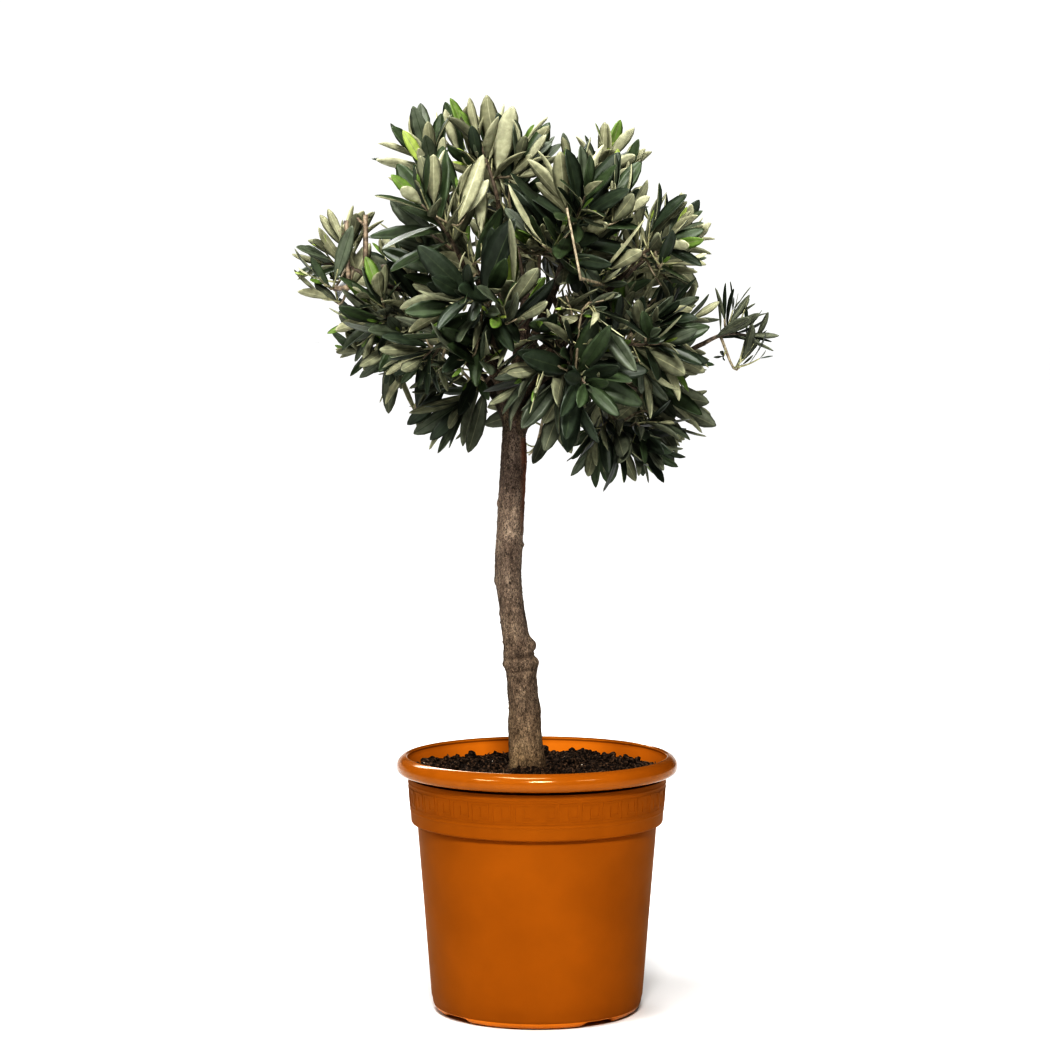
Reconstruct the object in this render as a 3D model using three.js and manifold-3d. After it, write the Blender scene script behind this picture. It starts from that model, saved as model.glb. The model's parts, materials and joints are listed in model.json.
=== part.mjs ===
// Potted olive tree
//
// A young olive on a clear stem, with a rounded head of leafy shoots, planted in
// a 24 cm nursery pot. Millimetres, +Z up. The origin is on the pot's axis at the
// level of the floor, and the front of the plant faces -Y.
//
// Nodes: pot, soil, trunk, one bough_NAME for each limb, and one foliage_NAME for
// each mass of leaves. Every mass grows by the same seeded rule from the tip of
// its bough and keeps to a space of its own: a ball round its heart, cut flat
// halfway to each neighbouring ball.
import * as THREE from "three";
import { mergeVertices } from "three/addons/utils/BufferGeometryUtils.js";
import Module from "manifold-3d";

const wasm = await Module();
wasm.setup();

// ---------------------------------------------------------------- sizes, mm
const GAP = 0.3; // clear air between neighbouring pieces
const SEGMENTS = 28; // facets round the pot and the soil

const POT_HEIGHT = 219.3;
const POT_WALL = 2.4;
const FLOOR_THICKNESS = 3;
const FOOT_RADIUS = 89.4; // outside, at the bottom
const FOOT_ROUND = 9.9; // rounding between the wall and the bottom
const BODY_TOP_RADIUS = 102.3; // outside, just below the step
const STEP_Z = 161.5;
const STEP_SLOPE = 3; // height over which the wall steps out
const COLLAR_FOOT_RADIUS = 107.5; // outside, just above the step
const COLLAR_TOP_RADIUS = 110.6; // outside, under the lip
const LIP_RADIUS = 120;
const LIP_HEIGHT = 15.3;
const LIP_THICKNESS = 9.6;
const NOTCH_WIDTH = 38; // drain recesses in the bottom edge
const NOTCH_HEIGHT = 5;
const NOTCH_DEPTH = 14; // in from the foot radius
const NOTCH_TURN = 37; // degrees from the front, to the right; the others 90 apart
const NOTCHES = 4;
const DRAIN_HOLE = [18, 6, 12]; // width, depth and height, one above each recess

const SOIL_LEVEL = 206;
const SOIL_GAP = 0.6; // between the soil and the pot's wall
const SOIL_RINGS = [92, 70, 48, 32, 20, 0]; // radii of the rings of corners on its top
const SOIL_LUMPS = 1.44; // height of the soil's gentle lumps
// Rises in the soil: right, back, height, and how far it spreads.
const SOIL_RISES = [
  [36, 52, 6, 30],
  [-88, -5, 4, 22.4],
];
const SEAT_RADIUS = 27; // level ground round the trunk's foot
const SEAT_EDGE = 12; // over which the ground changes from level to lumpy

// The trunk's axis from the soil to the leader's tip: right, back, up, radius.
const TRUNK = [
  [-9, 4, SOIL_LEVEL + GAP, 15.5],
  [-11.5, 4, 260, 13],
  [-14, 4, 290, 12.6],
  [-21.5, 2, 345, 10.4],
  [-24.6, 2, 375, 11.2],
  [-23, 4, 415, 11.2],
  [-20, 4, 470, 11],
  [-19, 6, 505, 9],
  [-14, 8, 560, 6.5],
  [-9, 12, 612, 4],
];
const TRUNK_STEPS = 27;
const TRUNK_SIDES = 10;
// Scars of old side shoots: height, degrees round from the front, height of the
// swelling, half its length.
const KNOTS = [
  [304, 80, 4.4, 12],
  [434, -80, 1.5, 6],
  [399, 85, 1.4, 6],
  [369, -85, 1.4, 6],
  [300, -80, 1.8, 6],
  [258, 80, 1.4, 6],
  [248, -50, 1.5, 7],
];
const KNOT_BREADTH = 0.6; // half the width of a swelling, in radians
const FLARE = 0.13; // unevenness of the root flare, as a share of the radius
const FLARE_HEIGHT = 18;
const FLARE_LOBES = 3;

const CROWN = [0, 0, 590]; // centre of the whole head
const BOUGH_SIDES = 5;
const BOUGH_STEPS = 5;
const BOUGH_SHARE = 0.72; // a bough's first radius, as a share of its parent's
const BOUGH_MOST = 6.5;
const BOUGH_TIP = 1.9;
const BOUGH_TAPER = 0.8; // below 1, a bough thins fastest near its root
const BOUGH_TURN = 1.4; // how strongly it turns to its mass as it leaves its parent
const BOUGH_BOW = [0.35, 0.3]; // how far it runs straight at its root and at its tip

const START_BACK = 0.8; // a mass starts this share of its reach behind its heart
const START_BELOW = 0.25; // and this share below it where its shoots rise
const START_ROOM = 3; // and this far inside its space
const STEM_LIFT = 0.6; // how much the rise of the shoots lifts the stem too
const STEM_BOW = 0.55; // share of the stem that keeps the bough's direction
const STEM_STEPS = 3;
const SHOOTS_PER_MASS = 4.6; // for a mass of reach 60
const SHOOT_STEPS = 2;
const SHOOT_RADIUS = 1.5;
const SHOOT_TIP = 0.9;
const SHOOT_ROOM = 1.6; // between a shoot's axis and the edge of the space
const SHOOT_LEAST = 0.4; // a shoot cut shorter than this share is left out
const LIMB_ROOM = 0.2; // further room between a shoot and another mass's limb

const LEAF_PAIRS = 3; // on each shoot, from its tip down
const PAIR_STEP = 9;
const BUD = 1.5; // the shoot's tip stands this far beyond the last pair
const OPENING = 12; // degrees by which each pair opens wider than the one above
const TIP_LEAF = 0.62; // size of the top pair, as a share of the mass's leaf
const LEAF_GROWTH = 0.15; // further size of each pair below it
const LEAF_WIDTHS = [0.25, 0.32]; // narrowest and widest, as a share of the length
const LEAF_THICKNESS = 0.035; // as a share of the leaf's length
const LEAF_WIDEST = 0.52; // where a leaf is widest, from its root
const LEAF_FULLNESS = 1.45; // a four-sided leaf is this much wider than the real outline
const LEAF_SCALES = [1.45, 1.2, 1, 0.85]; // sizes tried in turn until the leaf fits
const LEAF_CLEAR = 0.5; // between a leaf's edge and another mass's limb
const NEAR = 16; // limbs this close to a space are heeded: a limb's and half a leaf's width
const LEAF_ROOM = 0.3; // leaves of two shoots stay this share of their widths apart
const SPINE = [0.3, 0.55, 0.8]; // places along a leaf where that is measured
const ROOT_SUNK = 1.6; // a leaf's root lies this far back inside its shoot

// The masses: heart (right, back, up), reach, rise of the shoots, leaf length,
// spread of the shoots in degrees, seed, and the limb that its bough leaves, with
// the share of that limb's length at which it does.
const MASSES = [
  ["top_left", -88, 0, 718, 58, 1.6, 61, 81, 850, "trunk", 0.69],
  ["top_crown", -41, -10, 721, 60, 1.5, 51, 73, 833, "top_left", 0.6],
  ["top_middle", -33, 35, 730, 70, 1.3, 58, 105, 816, "trunk", 1],
  ["top_right", 51, 5, 714, 51, 1.6, 53, 86, 430, "trunk", 0.84],
  ["right_far", 91, -15, 576, 71, 1.9, 51, 127, 559, "trunk", 0.74],
  ["right_upper", 98, 15, 649, 59, 1.5, 55, 67, 785, "right_far", 0.45],
  ["left_upper", -67, -35, 652, 73, 1, 66, 88, 257, "top_left", 0.42],
  ["left_far", -159, 5, 637, 53, 1.4, 52, 74, 432, "left_upper", 0.5],
  ["front_right", 91, -75, 652, 56, 1.5, 65, 60, 134, "trunk", 0.8],
  ["front_upper_right", 29, -85, 669, 78, 1, 53, 106, 757, "front_right", 0.45],
  ["right_tip", 158, 15, 579, 48, 2, 50, 62, 249, "right_far", 0.55],
  ["left_low", -119, -20, 595, 64, 0.5, 52, 104, 189, "trunk", 0.71],
  ["front_left", -87, -80, 571, 48, 0.4, 52, 89, 759, "trunk", 0.77],
  ["front_upper_left", -77, -85, 667, 72, 2, 65, 130, 559, "front_left", 0.4],
  ["front_centre", -45, -115, 611, 78, 0.9, 66, 126, 65, "trunk", 0.79],
  ["front_low", 28, -105, 552, 78, -0.9, 57, 135, 494, "front_centre", 0.35],
  ["right_low", 81, -75, 569, 64, -0.5, 53, 64, 714, "trunk", 0.72],
  ["right_bottom", 72, -25, 500, 63, -1, 52, 74, 642, "right_low", 0.4],
  ["left_bottom", -63, -10, 521, 52, -1.3, 58, 92, 520, "left_low", 0.6],
  ["back_left", -101, 85, 604, 72, 2.3, 58, 135, 385, "trunk", 0.75],
  ["back_right", 70, 95, 616, 75, 1.3, 53, 117, 312, "trunk", 0.78],
  ["back_low", 10, 100, 520, 63, 2.2, 63, 60, 482, "trunk", 0.73],
  ["back_top", 3, 110, 660, 74, 0.2, 62, 134, 427, "trunk", 0.88],
  ["left_back", -103, 60, 580, 78, 1.2, 64, 99, 553, "back_left", 0.4],
  ["right_back", 88, 70, 527, 78, -0.5, 63, 111, 154, "back_right", 0.4],
];

// ---------------------------------------------------------------- vectors
const UP = new THREE.Vector3(0, 0, 1);
const GOLDEN_ANGLE = THREE.MathUtils.degToRad(137.50776);
const vec = (x, y, z) => new THREE.Vector3(x, y, z);
const unit = (v) => v.clone().normalize();
const mix = (p, q, share) => p.clone().lerp(q, share);
const towards = (p, direction, distance) =>
  p.clone().addScaledVector(direction, distance);

// Two directions square to an axis and to each other.
function across(axis) {
  const other = Math.abs(axis.z) < 0.9 ? UP : vec(1, 0, 0);
  const side = vec(0, 0, 0).crossVectors(axis, other).normalize();
  return [side, vec(0, 0, 0).crossVectors(side, axis)];
}

// The direction at an angle round an axis, square to it.
function spoke(axis, round) {
  const [side, next] = across(axis);
  return side.multiplyScalar(Math.cos(round)).addScaledVector(next, Math.sin(round));
}

// An axis tipped over by an angle, towards the spoke at another angle.
function lean(axis, tip, round) {
  const level = axis.clone().multiplyScalar(Math.cos(tip));
  return unit(level.addScaledVector(spoke(axis, round), Math.sin(tip)));
}

// Points on the curve from p0 to p2 that sets out towards p1.
const bend = (p0, p1, p2, steps) =>
  new THREE.QuadraticBezierCurve3(p0, p1, p2).getPoints(steps);

// The point at a share of a line of points, and the line's direction there.
function onLine(line, share) {
  const at = share * (line.length - 1);
  const i = Math.min(Math.floor(at), line.length - 2);
  return [mix(line[i], line[i + 1], at - i), unit(line[i + 1].clone().sub(line[i]))];
}

// A repeatable stream of numbers from 0 to 1.
function stream(seed) {
  let state = seed | 0;
  return () => {
    state = (state + 0x6d2b79f5) | 0;
    let t = Math.imul(state ^ (state >>> 15), state | 1);
    t ^= t + Math.imul(t ^ (t >>> 7), t | 61);
    return ((t ^ (t >>> 14)) >>> 0) / 4294967296;
  };
}

// ---------------------------------------------------------------- solids
// A closed geometry as a solid that can be cut and joined.
function solidOf(geometry) {
  const bare = geometry.clone();
  bare.deleteAttribute("normal");
  bare.deleteAttribute("uv");
  const merged = mergeVertices(bare, 1e-3);
  return new wasm.Manifold(
    new wasm.Mesh({
      numProp: 3,
      vertProperties: merged.attributes.position.array,
      triVerts: new Uint32Array(merged.index.array),
    }),
  );
}

function geometryOf(solid) {
  const mesh = solid.getMesh();
  const geometry = new THREE.BufferGeometry();
  geometry.setAttribute("position", new THREE.BufferAttribute(mesh.vertProperties, 3));
  geometry.setIndex(new THREE.BufferAttribute(mesh.triVerts, 1));
  return geometry;
}

// The largest body of a solid, with edges too short to matter closed up.
function settled(solid) {
  for (const shortest of [0.004, 0.01, 0.02, 0.04]) {
    const bodies = solid.simplify(shortest).decompose();
    bodies.sort((a, b) => b.volume() - a.volume());
    try {
      const again = solidOf(geometryOf(bodies[0]));
      if (again.decompose().length === 1) return bodies[0];
    } catch {
      continue; // two corners met: close up slightly longer edges
    }
  }
  throw new Error("a piece does not settle into one body");
}

// A limb: a cylinder whose rings are set along a line of points.
// radiusAt(i, angle) is the radius of ring i at an angle round it. The first and
// last rings may be turned to face along given directions, first and last.
function limbGeometry({ line, radiusAt, sides, first, last }) {
  const steps = line.length - 1;
  const rings = [];
  let [side] = across(unit(line[1].clone().sub(line[0])));
  for (let i = 0; i <= steps; i++) {
    const before = line[Math.max(i - 1, 0)];
    const after = line[Math.min(i + 1, steps)];
    let axis = unit(after.clone().sub(before));
    if (i === 0 && first) axis = first;
    if (i === steps && last) axis = last;
    side = unit(side.clone().addScaledVector(axis, -side.dot(axis)));
    rings.push([side, vec(0, 0, 0).crossVectors(side, axis)]);
  }
  const geometry = new THREE.CylinderGeometry(1, 1, steps, sides, steps);
  const place = geometry.attributes.position;
  for (let k = 0; k < place.count; k++) {
    const i = Math.round(place.getY(k) + steps / 2);
    const [x, z] = [place.getX(k), place.getZ(k)];
    const radius = radiusAt(i, Math.atan2(z, x));
    const p = towards(line[i], rings[i][0], x * radius);
    p.addScaledVector(rings[i][1], z * radius);
    place.setXYZ(k, p.x, p.y, p.z);
  }
  return geometry;
}

function limbSolid(limb, extra) {
  const radiusAt = (i, angle) => limb.radiusAt(i, angle) + extra;
  return solidOf(limbGeometry({ ...limb, radiusAt }));
}

// A profile of [radius, height] pairs turned round the pot's axis.
function turned(profile) {
  const points = profile.map(([r, z]) => new THREE.Vector2(r, z));
  return new THREE.LatheGeometry(points, SEGMENTS).rotateX(Math.PI / 2);
}

// ---------------------------------------------------------------- pot
const LIP_UNDER = POT_HEIGHT - LIP_HEIGHT;

// The inside radius of the pot's wall at a height.
function insideRadius(z) {
  if (z < STEP_Z) {
    const share = z / STEP_Z;
    return FOOT_RADIUS + (BODY_TOP_RADIUS - FOOT_RADIUS) * share - POT_WALL;
  }
  const share = (z - STEP_Z - STEP_SLOPE) / (LIP_UNDER - STEP_Z - STEP_SLOPE);
  const slope = COLLAR_TOP_RADIUS - COLLAR_FOOT_RADIUS;
  return COLLAR_FOOT_RADIUS + slope * Math.max(share, 0) - POT_WALL;
}

// A wedge that cuts one drain recess; grow makes it larger on every side.
function notch(index, grow) {
  const half = NOTCH_WIDTH / 2 + grow;
  const shape = new THREE.Shape();
  shape.moveTo(-half, -1);
  shape.lineTo(half, -1);
  shape.lineTo(half, 0);
  shape.lineTo(half - NOTCH_HEIGHT, NOTCH_HEIGHT + grow);
  shape.lineTo(-half + NOTCH_HEIGHT, NOTCH_HEIGHT + grow);
  shape.lineTo(-half, 0);
  const length = NOTCH_DEPTH + FOOT_ROUND + grow;
  const block = new THREE.ExtrudeGeometry(shape, { depth: length, bevelEnabled: false });
  block.rotateX(Math.PI / 2); // its width along X, its height along Z, its length along -Y
  block.translate(0, -(FOOT_RADIUS - NOTCH_DEPTH - grow), 0);
  return block.rotateZ(notchTurn(index));
}

const notchTurn = (index) => THREE.MathUtils.degToRad(NOTCH_TURN + (360 / NOTCHES) * index);

function makePot() {
  const lipInner = LIP_RADIUS - LIP_THICKNESS;
  const outer = [
    [0, 0],
    [FOOT_RADIUS - FOOT_ROUND, 0],
    [FOOT_RADIUS - FOOT_ROUND * 0.5, FOOT_ROUND * 0.13],
    [FOOT_RADIUS - FOOT_ROUND * 0.13, FOOT_ROUND * 0.5],
    [FOOT_RADIUS, FOOT_ROUND],
    [BODY_TOP_RADIUS, STEP_Z],
    [COLLAR_FOOT_RADIUS - 1, STEP_Z + 0.8],
    [COLLAR_FOOT_RADIUS, STEP_Z + STEP_SLOPE],
    [COLLAR_TOP_RADIUS, LIP_UNDER],
    [LIP_RADIUS - 2, LIP_UNDER],
    [LIP_RADIUS - 0.4, LIP_UNDER + 2],
    [LIP_RADIUS, LIP_UNDER + LIP_HEIGHT * 0.4],
    [LIP_RADIUS - 1.6, POT_HEIGHT - 2.4],
    [LIP_RADIUS - 5, POT_HEIGHT],
    [lipInner + 1.6, POT_HEIGHT - 0.7],
    [lipInner, POT_HEIGHT - 3],
    [0, POT_HEIGHT - 3],
  ];
  const cavity = [
    [0, FLOOR_THICKNESS],
    [FOOT_RADIUS - FOOT_ROUND, FLOOR_THICKNESS],
    [insideRadius(FOOT_ROUND), FOOT_ROUND],
    [insideRadius(STEP_Z - 1), STEP_Z - 1],
    [insideRadius(STEP_Z + STEP_SLOPE), STEP_Z + STEP_SLOPE],
    [insideRadius(LIP_UNDER), LIP_UNDER],
    [lipInner, POT_HEIGHT - 3],
    [lipInner + 1, POT_HEIGHT + 5],
    [0, POT_HEIGHT + 5],
  ];
  let body = solidOf(turned(outer));
  let hollow = solidOf(turned(cavity));
  for (let i = 0; i < NOTCHES; i++) {
    body = body.subtract(solidOf(notch(i, 0)));
    hollow = hollow.subtract(solidOf(notch(i, POT_WALL)));
  }
  body = body.subtract(hollow);
  for (let i = 0; i < NOTCHES; i++) {
    const hole = new THREE.BoxGeometry(...DRAIN_HOLE);
    hole.translate(0, -(FOOT_RADIUS - NOTCH_DEPTH + 4), NOTCH_HEIGHT + 2);
    body = body.subtract(solidOf(hole.rotateZ(notchTurn(i))));
  }
  return settled(body);
}

// ---------------------------------------------------------------- soil
// The soil's height at a place: gentle lumps, a heap behind the trunk's right
// side, a little bank at the left wall, and a level seat under the trunk.
function soilHeight(x, y) {
  let height = SOIL_LUMPS * (Math.sin(x / 17 + 1) * Math.cos(y / 13) + Math.sin((x + y) / 9) / 2);
  for (const [right, back, rise, spread] of SOIL_RISES)
    height += rise * Math.exp(-(((x - right) ** 2 + (y - back) ** 2) / spread ** 2));
  const fromTrunk = Math.hypot(x - TRUNK[0][0], y - TRUNK[0][1]);
  const open = THREE.MathUtils.clamp((fromTrunk - SEAT_RADIUS) / SEAT_EDGE, 0, 1);
  return SOIL_LEVEL + open * height;
}

function makeSoil() {
  const floor = FLOOR_THICKNESS + GAP;
  const ledge = NOTCH_HEIGHT + POT_WALL + SOIL_GAP; // above the drain recesses
  const core = FOOT_RADIUS - NOTCH_DEPTH - POT_WALL - 2 * SOIL_GAP; // inside them
  const shoulder = STEP_Z + STEP_SLOPE;
  const profile = [
    [0, floor],
    [core, floor],
    [core, ledge],
    [insideRadius(FOOT_ROUND) - 4, ledge],
    [insideRadius(FOOT_ROUND) - SOIL_GAP, FOOT_ROUND + GAP],
    [insideRadius(STEP_Z - 1) - SOIL_GAP, STEP_Z],
    [insideRadius(shoulder) - SOIL_GAP, shoulder + SOIL_GAP],
    [insideRadius(SOIL_LEVEL - 6) - SOIL_GAP, SOIL_LEVEL - 1.5],
  ];
  for (const radius of SOIL_RINGS) profile.push([radius, SOIL_LEVEL]);
  const ground = turned(profile);
  const place = ground.attributes.position;
  for (let k = 0; k < place.count; k++) {
    if (place.getZ(k) < SOIL_LEVEL - 2) continue; // a corner below the top
    const lift = soilHeight(place.getX(k), place.getY(k)) - SOIL_LEVEL;
    place.setZ(k, place.getZ(k) + lift);
  }
  return settled(solidOf(ground));
}

// ---------------------------------------------------------------- trunk
function makeTrunk() {
  const path = new THREE.CatmullRomCurve3(
    TRUNK.map(([x, y, z]) => vec(x, y, z)),
    false,
    "catmullrom",
    0.5,
  );
  const line = path.getPoints(TRUNK_STEPS);
  const perKnot = TRUNK_STEPS / (TRUNK.length - 1);
  const radii = line.map((_, i) => {
    const k = Math.min(Math.floor(i / perKnot), TRUNK.length - 2);
    return THREE.MathUtils.lerp(TRUNK[k][3], TRUNK[k + 1][3], i / perKnot - k);
  });
  // Angle 0 of a ring points to the back, and a quarter turn points to the right.
  function radiusAt(i, angle) {
    const z = line[i].z;
    const rise = z - SOIL_LEVEL;
    const lobes = Math.cos(FLARE_LOBES * angle + 0.6);
    const flare = FLARE * lobes * Math.exp(-rise / FLARE_HEIGHT);
    let radius = radii[i] * (1 + flare);
    for (const [height, turn, swell, half] of KNOTS) {
      const facing = THREE.MathUtils.degToRad(180 - turn);
      const apart = Math.atan2(Math.sin(angle - facing), Math.cos(angle - facing));
      radius += swell * Math.exp(-(((z - height) / half) ** 2) - (apart / KNOT_BREADTH) ** 2);
    }
    return radius;
  }
  return { name: "trunk", line, radii, radiusAt, sides: TRUNK_SIDES, first: UP };
}

// ---------------------------------------------------------------- spaces
const masses = MASSES.map(
  ([name, x, y, z, reach, rise, leaf, spread, seed, parent, share]) => ({
    name,
    heart: vec(x, y, z),
    reach,
    rise,
    leaf,
    spread: THREE.MathUtils.degToRad(spread),
    seed,
    parent,
    share,
  }),
);

// The flat walls of a mass's space, each a direction and how far along it.
function wallsOf(mass) {
  const walls = [];
  for (const other of masses) {
    if (other === mass) continue;
    const direction = other.heart.clone().sub(mass.heart);
    const apart = direction.length();
    if (apart > mass.reach + other.reach) continue;
    direction.divideScalar(apart);
    const at = (apart ** 2 + mass.reach ** 2 - other.reach ** 2) / (2 * apart);
    walls.push([direction, direction.dot(mass.heart) + at - GAP / 2]);
  }
  return walls;
}

function insideSpace(mass, p, room) {
  if (p.distanceTo(mass.heart) > mass.reach - room) return false;
  return mass.walls.every(([direction, at]) => direction.dot(p) <= at - room);
}

// Where a mass starts: from the crown's side of its space, on the way to its heart.
function findStart(mass) {
  const outward = unit(mass.heart.clone().sub(vec(...CROWN)).multiply(vec(1, 1, 0.8)));
  mass.axis = unit(towards(outward, UP, mass.rise * STEM_LIFT));
  const behind = towards(mass.heart, outward, -mass.reach * START_BACK);
  behind.addScaledVector(UP, -mass.reach * START_BELOW * Math.max(mass.rise, 0));
  for (let i = 0; i <= 20 && !mass.start; i++) {
    const p = mix(behind, mass.heart, i / 20);
    if (insideSpace(mass, p, START_ROOM)) mass.start = p;
  }
  mass.aim = unit(towards(mass.heart, mass.axis, mass.reach * 0.1).sub(mass.start));
}

// ---------------------------------------------------------------- boughs
// A bough leaves its parent, bends towards its mass and ends just short of it.
function makeBough(mass, parent) {
  const [root, along] = onLine(parent.line, mass.share);
  const length = root.distanceTo(mass.start);
  const ring = Math.round(mass.share * (parent.line.length - 1));
  const first = Math.min(parent.radii[ring] * BOUGH_SHARE, BOUGH_MOST);
  const goal = unit(mass.start.clone().sub(root));
  const tip = towards(mass.start, mass.aim, -GAP);
  const out = unit(towards(along, goal, BOUGH_TURN));
  const curve = new THREE.CubicBezierCurve3(
    root,
    towards(root, out, length * BOUGH_BOW[0]),
    towards(tip, mass.aim, -length * BOUGH_BOW[1]),
    tip,
  );
  const line = curve.getPoints(BOUGH_STEPS);
  const radii = line.map((_, i) =>
    THREE.MathUtils.lerp(first, BOUGH_TIP, (i / BOUGH_STEPS) ** BOUGH_TAPER),
  );
  const radiusAt = (i) => radii[i];
  return { name: mass.name, line, radii, radiusAt, sides: BOUGH_SIDES, last: mass.aim };
}

// The straight pieces of all limbs but a mass's own that come near its space.
function limbsNear(mass, limbs) {
  const near = [];
  for (const limb of limbs) {
    if (limb.name === mass.name) continue;
    for (let i = 0; i + 1 < limb.line.length; i++) {
      const start = limb.line[i];
      const run = limb.line[i + 1].clone().sub(start);
      const radius = Math.max(limb.radii[i], limb.radii[i + 1]);
      const piece = { start, run, radius };
      if (distanceTo(piece, mass.heart) < mass.reach + NEAR) near.push(piece);
    }
  }
  return near;
}

function distanceTo(piece, p) {
  const offset = p.clone().sub(piece.start);
  const share = THREE.MathUtils.clamp(offset.dot(piece.run) / piece.run.lengthSq(), 0, 1);
  return offset.addScaledVector(piece.run, -share).length();
}

const clearOfLimbs = (mass, p, room) =>
  mass.near.every((piece) => distanceTo(piece, p) >= piece.radius + room);

// ---------------------------------------------------------------- growth
// The first part of a curve that keeps to the mass's space, or nothing.
function keptPart(mass, p0, p1, p2, room, steps) {
  let kept = 0;
  for (let i = 1; i <= 12; i++) {
    const t = i / 12;
    const p = mix(mix(p0, p1, t), mix(p1, p2, t), t);
    if (!insideSpace(mass, p, room) || !clearOfLimbs(mass, p, room + LIMB_ROOM)) break;
    kept = t;
  }
  if (kept < SHOOT_LEAST) return null;
  const near = mix(p0, p1, kept);
  const end = mix(near, mix(p1, p2, kept), kept);
  return bend(p0, near, end, steps);
}

// Opposite pairs of leaves down a shoot from its tip, each pair turned a quarter
// from the last. A leaf that would leave the space is made smaller, then skipped.
// The eight draws of a pair set its opening and size, and each leaf's turn, lean
// and width.
function addLeaves(mass, line, draw) {
  let length = 0;
  for (let i = 1; i < line.length; i++) length += line[i].distanceTo(line[i - 1]);
  const spin = draw() * Math.PI;
  for (let pair = 0; pair < LEAF_PAIRS; pair++) {
    const r = Array.from({ length: 8 }, draw);
    const share = 1 - (BUD + pair * PAIR_STEP) / length;
    if (share < 0.08) break; // too near the shoot's root
    const [node, along] = onLine(line, share);
    const open = THREE.MathUtils.degToRad(10 + OPENING * pair + 12 * r[0]);
    const size = mass.leaf * (TIP_LEAF + LEAF_GROWTH * pair) * (0.85 + 0.3 * r[1]);
    for (const side of [0, 1]) {
      const round = spin + (pair / 2 + side) * Math.PI + 0.6 * (r[2 + side] - 0.5);
      const direction = lean(along, open * (0.8 + 0.4 * r[4 + side]), round);
      const face = unit(towards(along, direction, -along.dot(direction)));
      const up = towards(face, UP, 0.25); // the upper face looks inward and a little up
      const normal = unit(towards(up, direction, -up.dot(direction)));
      const broad = vec(0, 0, 0).crossVectors(normal, direction);
      const slimness = THREE.MathUtils.lerp(...LEAF_WIDTHS, r[6 + side]);
      for (const scale of LEAF_SCALES) {
        const long = size * scale;
        const wide = long * slimness;
        const leaf = { shoot: line, node, along, direction, normal, side: broad, long, wide };
        if (!leafFits(mass, leaf)) continue;
        mass.leaves.push(leaf);
        break;
      }
    }
  }
}

function leafFits(mass, leaf) {
  const { node, direction, side, long, wide } = leaf;
  const middle = towards(node, direction, long / 2);
  const half = (wide * LEAF_FULLNESS) / 2;
  const edge = half + LEAF_CLEAR;
  leaf.spine = SPINE.map((share) => towards(node, direction, long * share));
  return (
    insideSpace(mass, towards(node, direction, long), 0.2) &&
    insideSpace(mass, towards(middle, side, half), 0.9) &&
    insideSpace(mass, towards(middle, side, -half), 0.9) &&
    [0.2, 0.45, 0.7, 1].every((share) =>
      clearOfLimbs(mass, towards(node, direction, long * share), edge),
    ) &&
    !mass.leaves.some((other) => other.shoot !== leaf.shoot && leavesMeet(leaf, other))
  );
}

// Two leaves of different shoots are too close when their middles nearly touch.
function leavesMeet(leaf, other) {
  const room = LEAF_ROOM * (leaf.wide + other.wide);
  return leaf.spine.some((p) => other.spine.some((q) => p.distanceTo(q) < room));
}

// A mass: a stem through its heart that ends as the leading shoot, and shoots
// fanned out round it, all with leaves. Each shoot's leaves have a stream of
// their own, so that one shoot cut short leaves the others as they are.
function growMass(mass) {
  const { heart, reach, rise, leaf, axis, start, aim } = mass;
  const seed = mass.seed * 7919;
  const draw = stream(seed + 17);
  mass.leaves = [];
  mass.shoots = [];
  const shootTip = (outward, finish) => {
    const goal = towards(heart, outward, reach * (0.9 + 0.1 * draw()));
    return towards(goal, finish, -leaf * 0.72); // leaves room for the top leaves
  };
  const top = shootTip(axis, unit(towards(axis, UP, rise)));
  const bow = towards(start, aim, start.distanceTo(top) * STEM_BOW);
  mass.stem = keptPart(mass, start, bow, top, SHOOT_ROOM, STEM_STEPS);
  if (!mass.stem) mass.stem = bend(start, mix(start, heart, 0.5), heart, STEM_STEPS);
  addLeaves(mass, mass.stem, stream(seed + 101));
  const turn = draw() * 2 * Math.PI;
  const count = Math.max(3, Math.round(SHOOTS_PER_MASS * (reach / 60) ** 2));
  for (let k = 1; k < count; k++) {
    const share = (k + 0.3) / count;
    const tipped = mass.spread * Math.sqrt(share) * (0.92 + 0.16 * draw());
    const outward = lean(axis, tipped, turn + k * GOLDEN_ANGLE);
    const [root] = onLine(mass.stem, 0.85 - 0.6 * share); // the wider, the lower
    const finish = unit(towards(outward, UP, rise));
    const tip = shootTip(outward, finish);
    const before = towards(tip, finish, -tip.distanceTo(root) / 2);
    const shoot = keptPart(mass, root, before, tip, SHOOT_ROOM, SHOOT_STEPS);
    if (!shoot) continue;
    mass.shoots.push(shoot);
    addLeaves(mass, shoot, stream(seed + 101 * (k + 1)));
  }
}

// ---------------------------------------------------------------- foliage solids
function twigSolid(line, thick, thin, first) {
  const steps = line.length - 1;
  const radiusAt = (i) => THREE.MathUtils.lerp(thick, thin, i / steps);
  return solidOf(limbGeometry({ line, radiusAt, sides: 3, first }));
}

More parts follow.
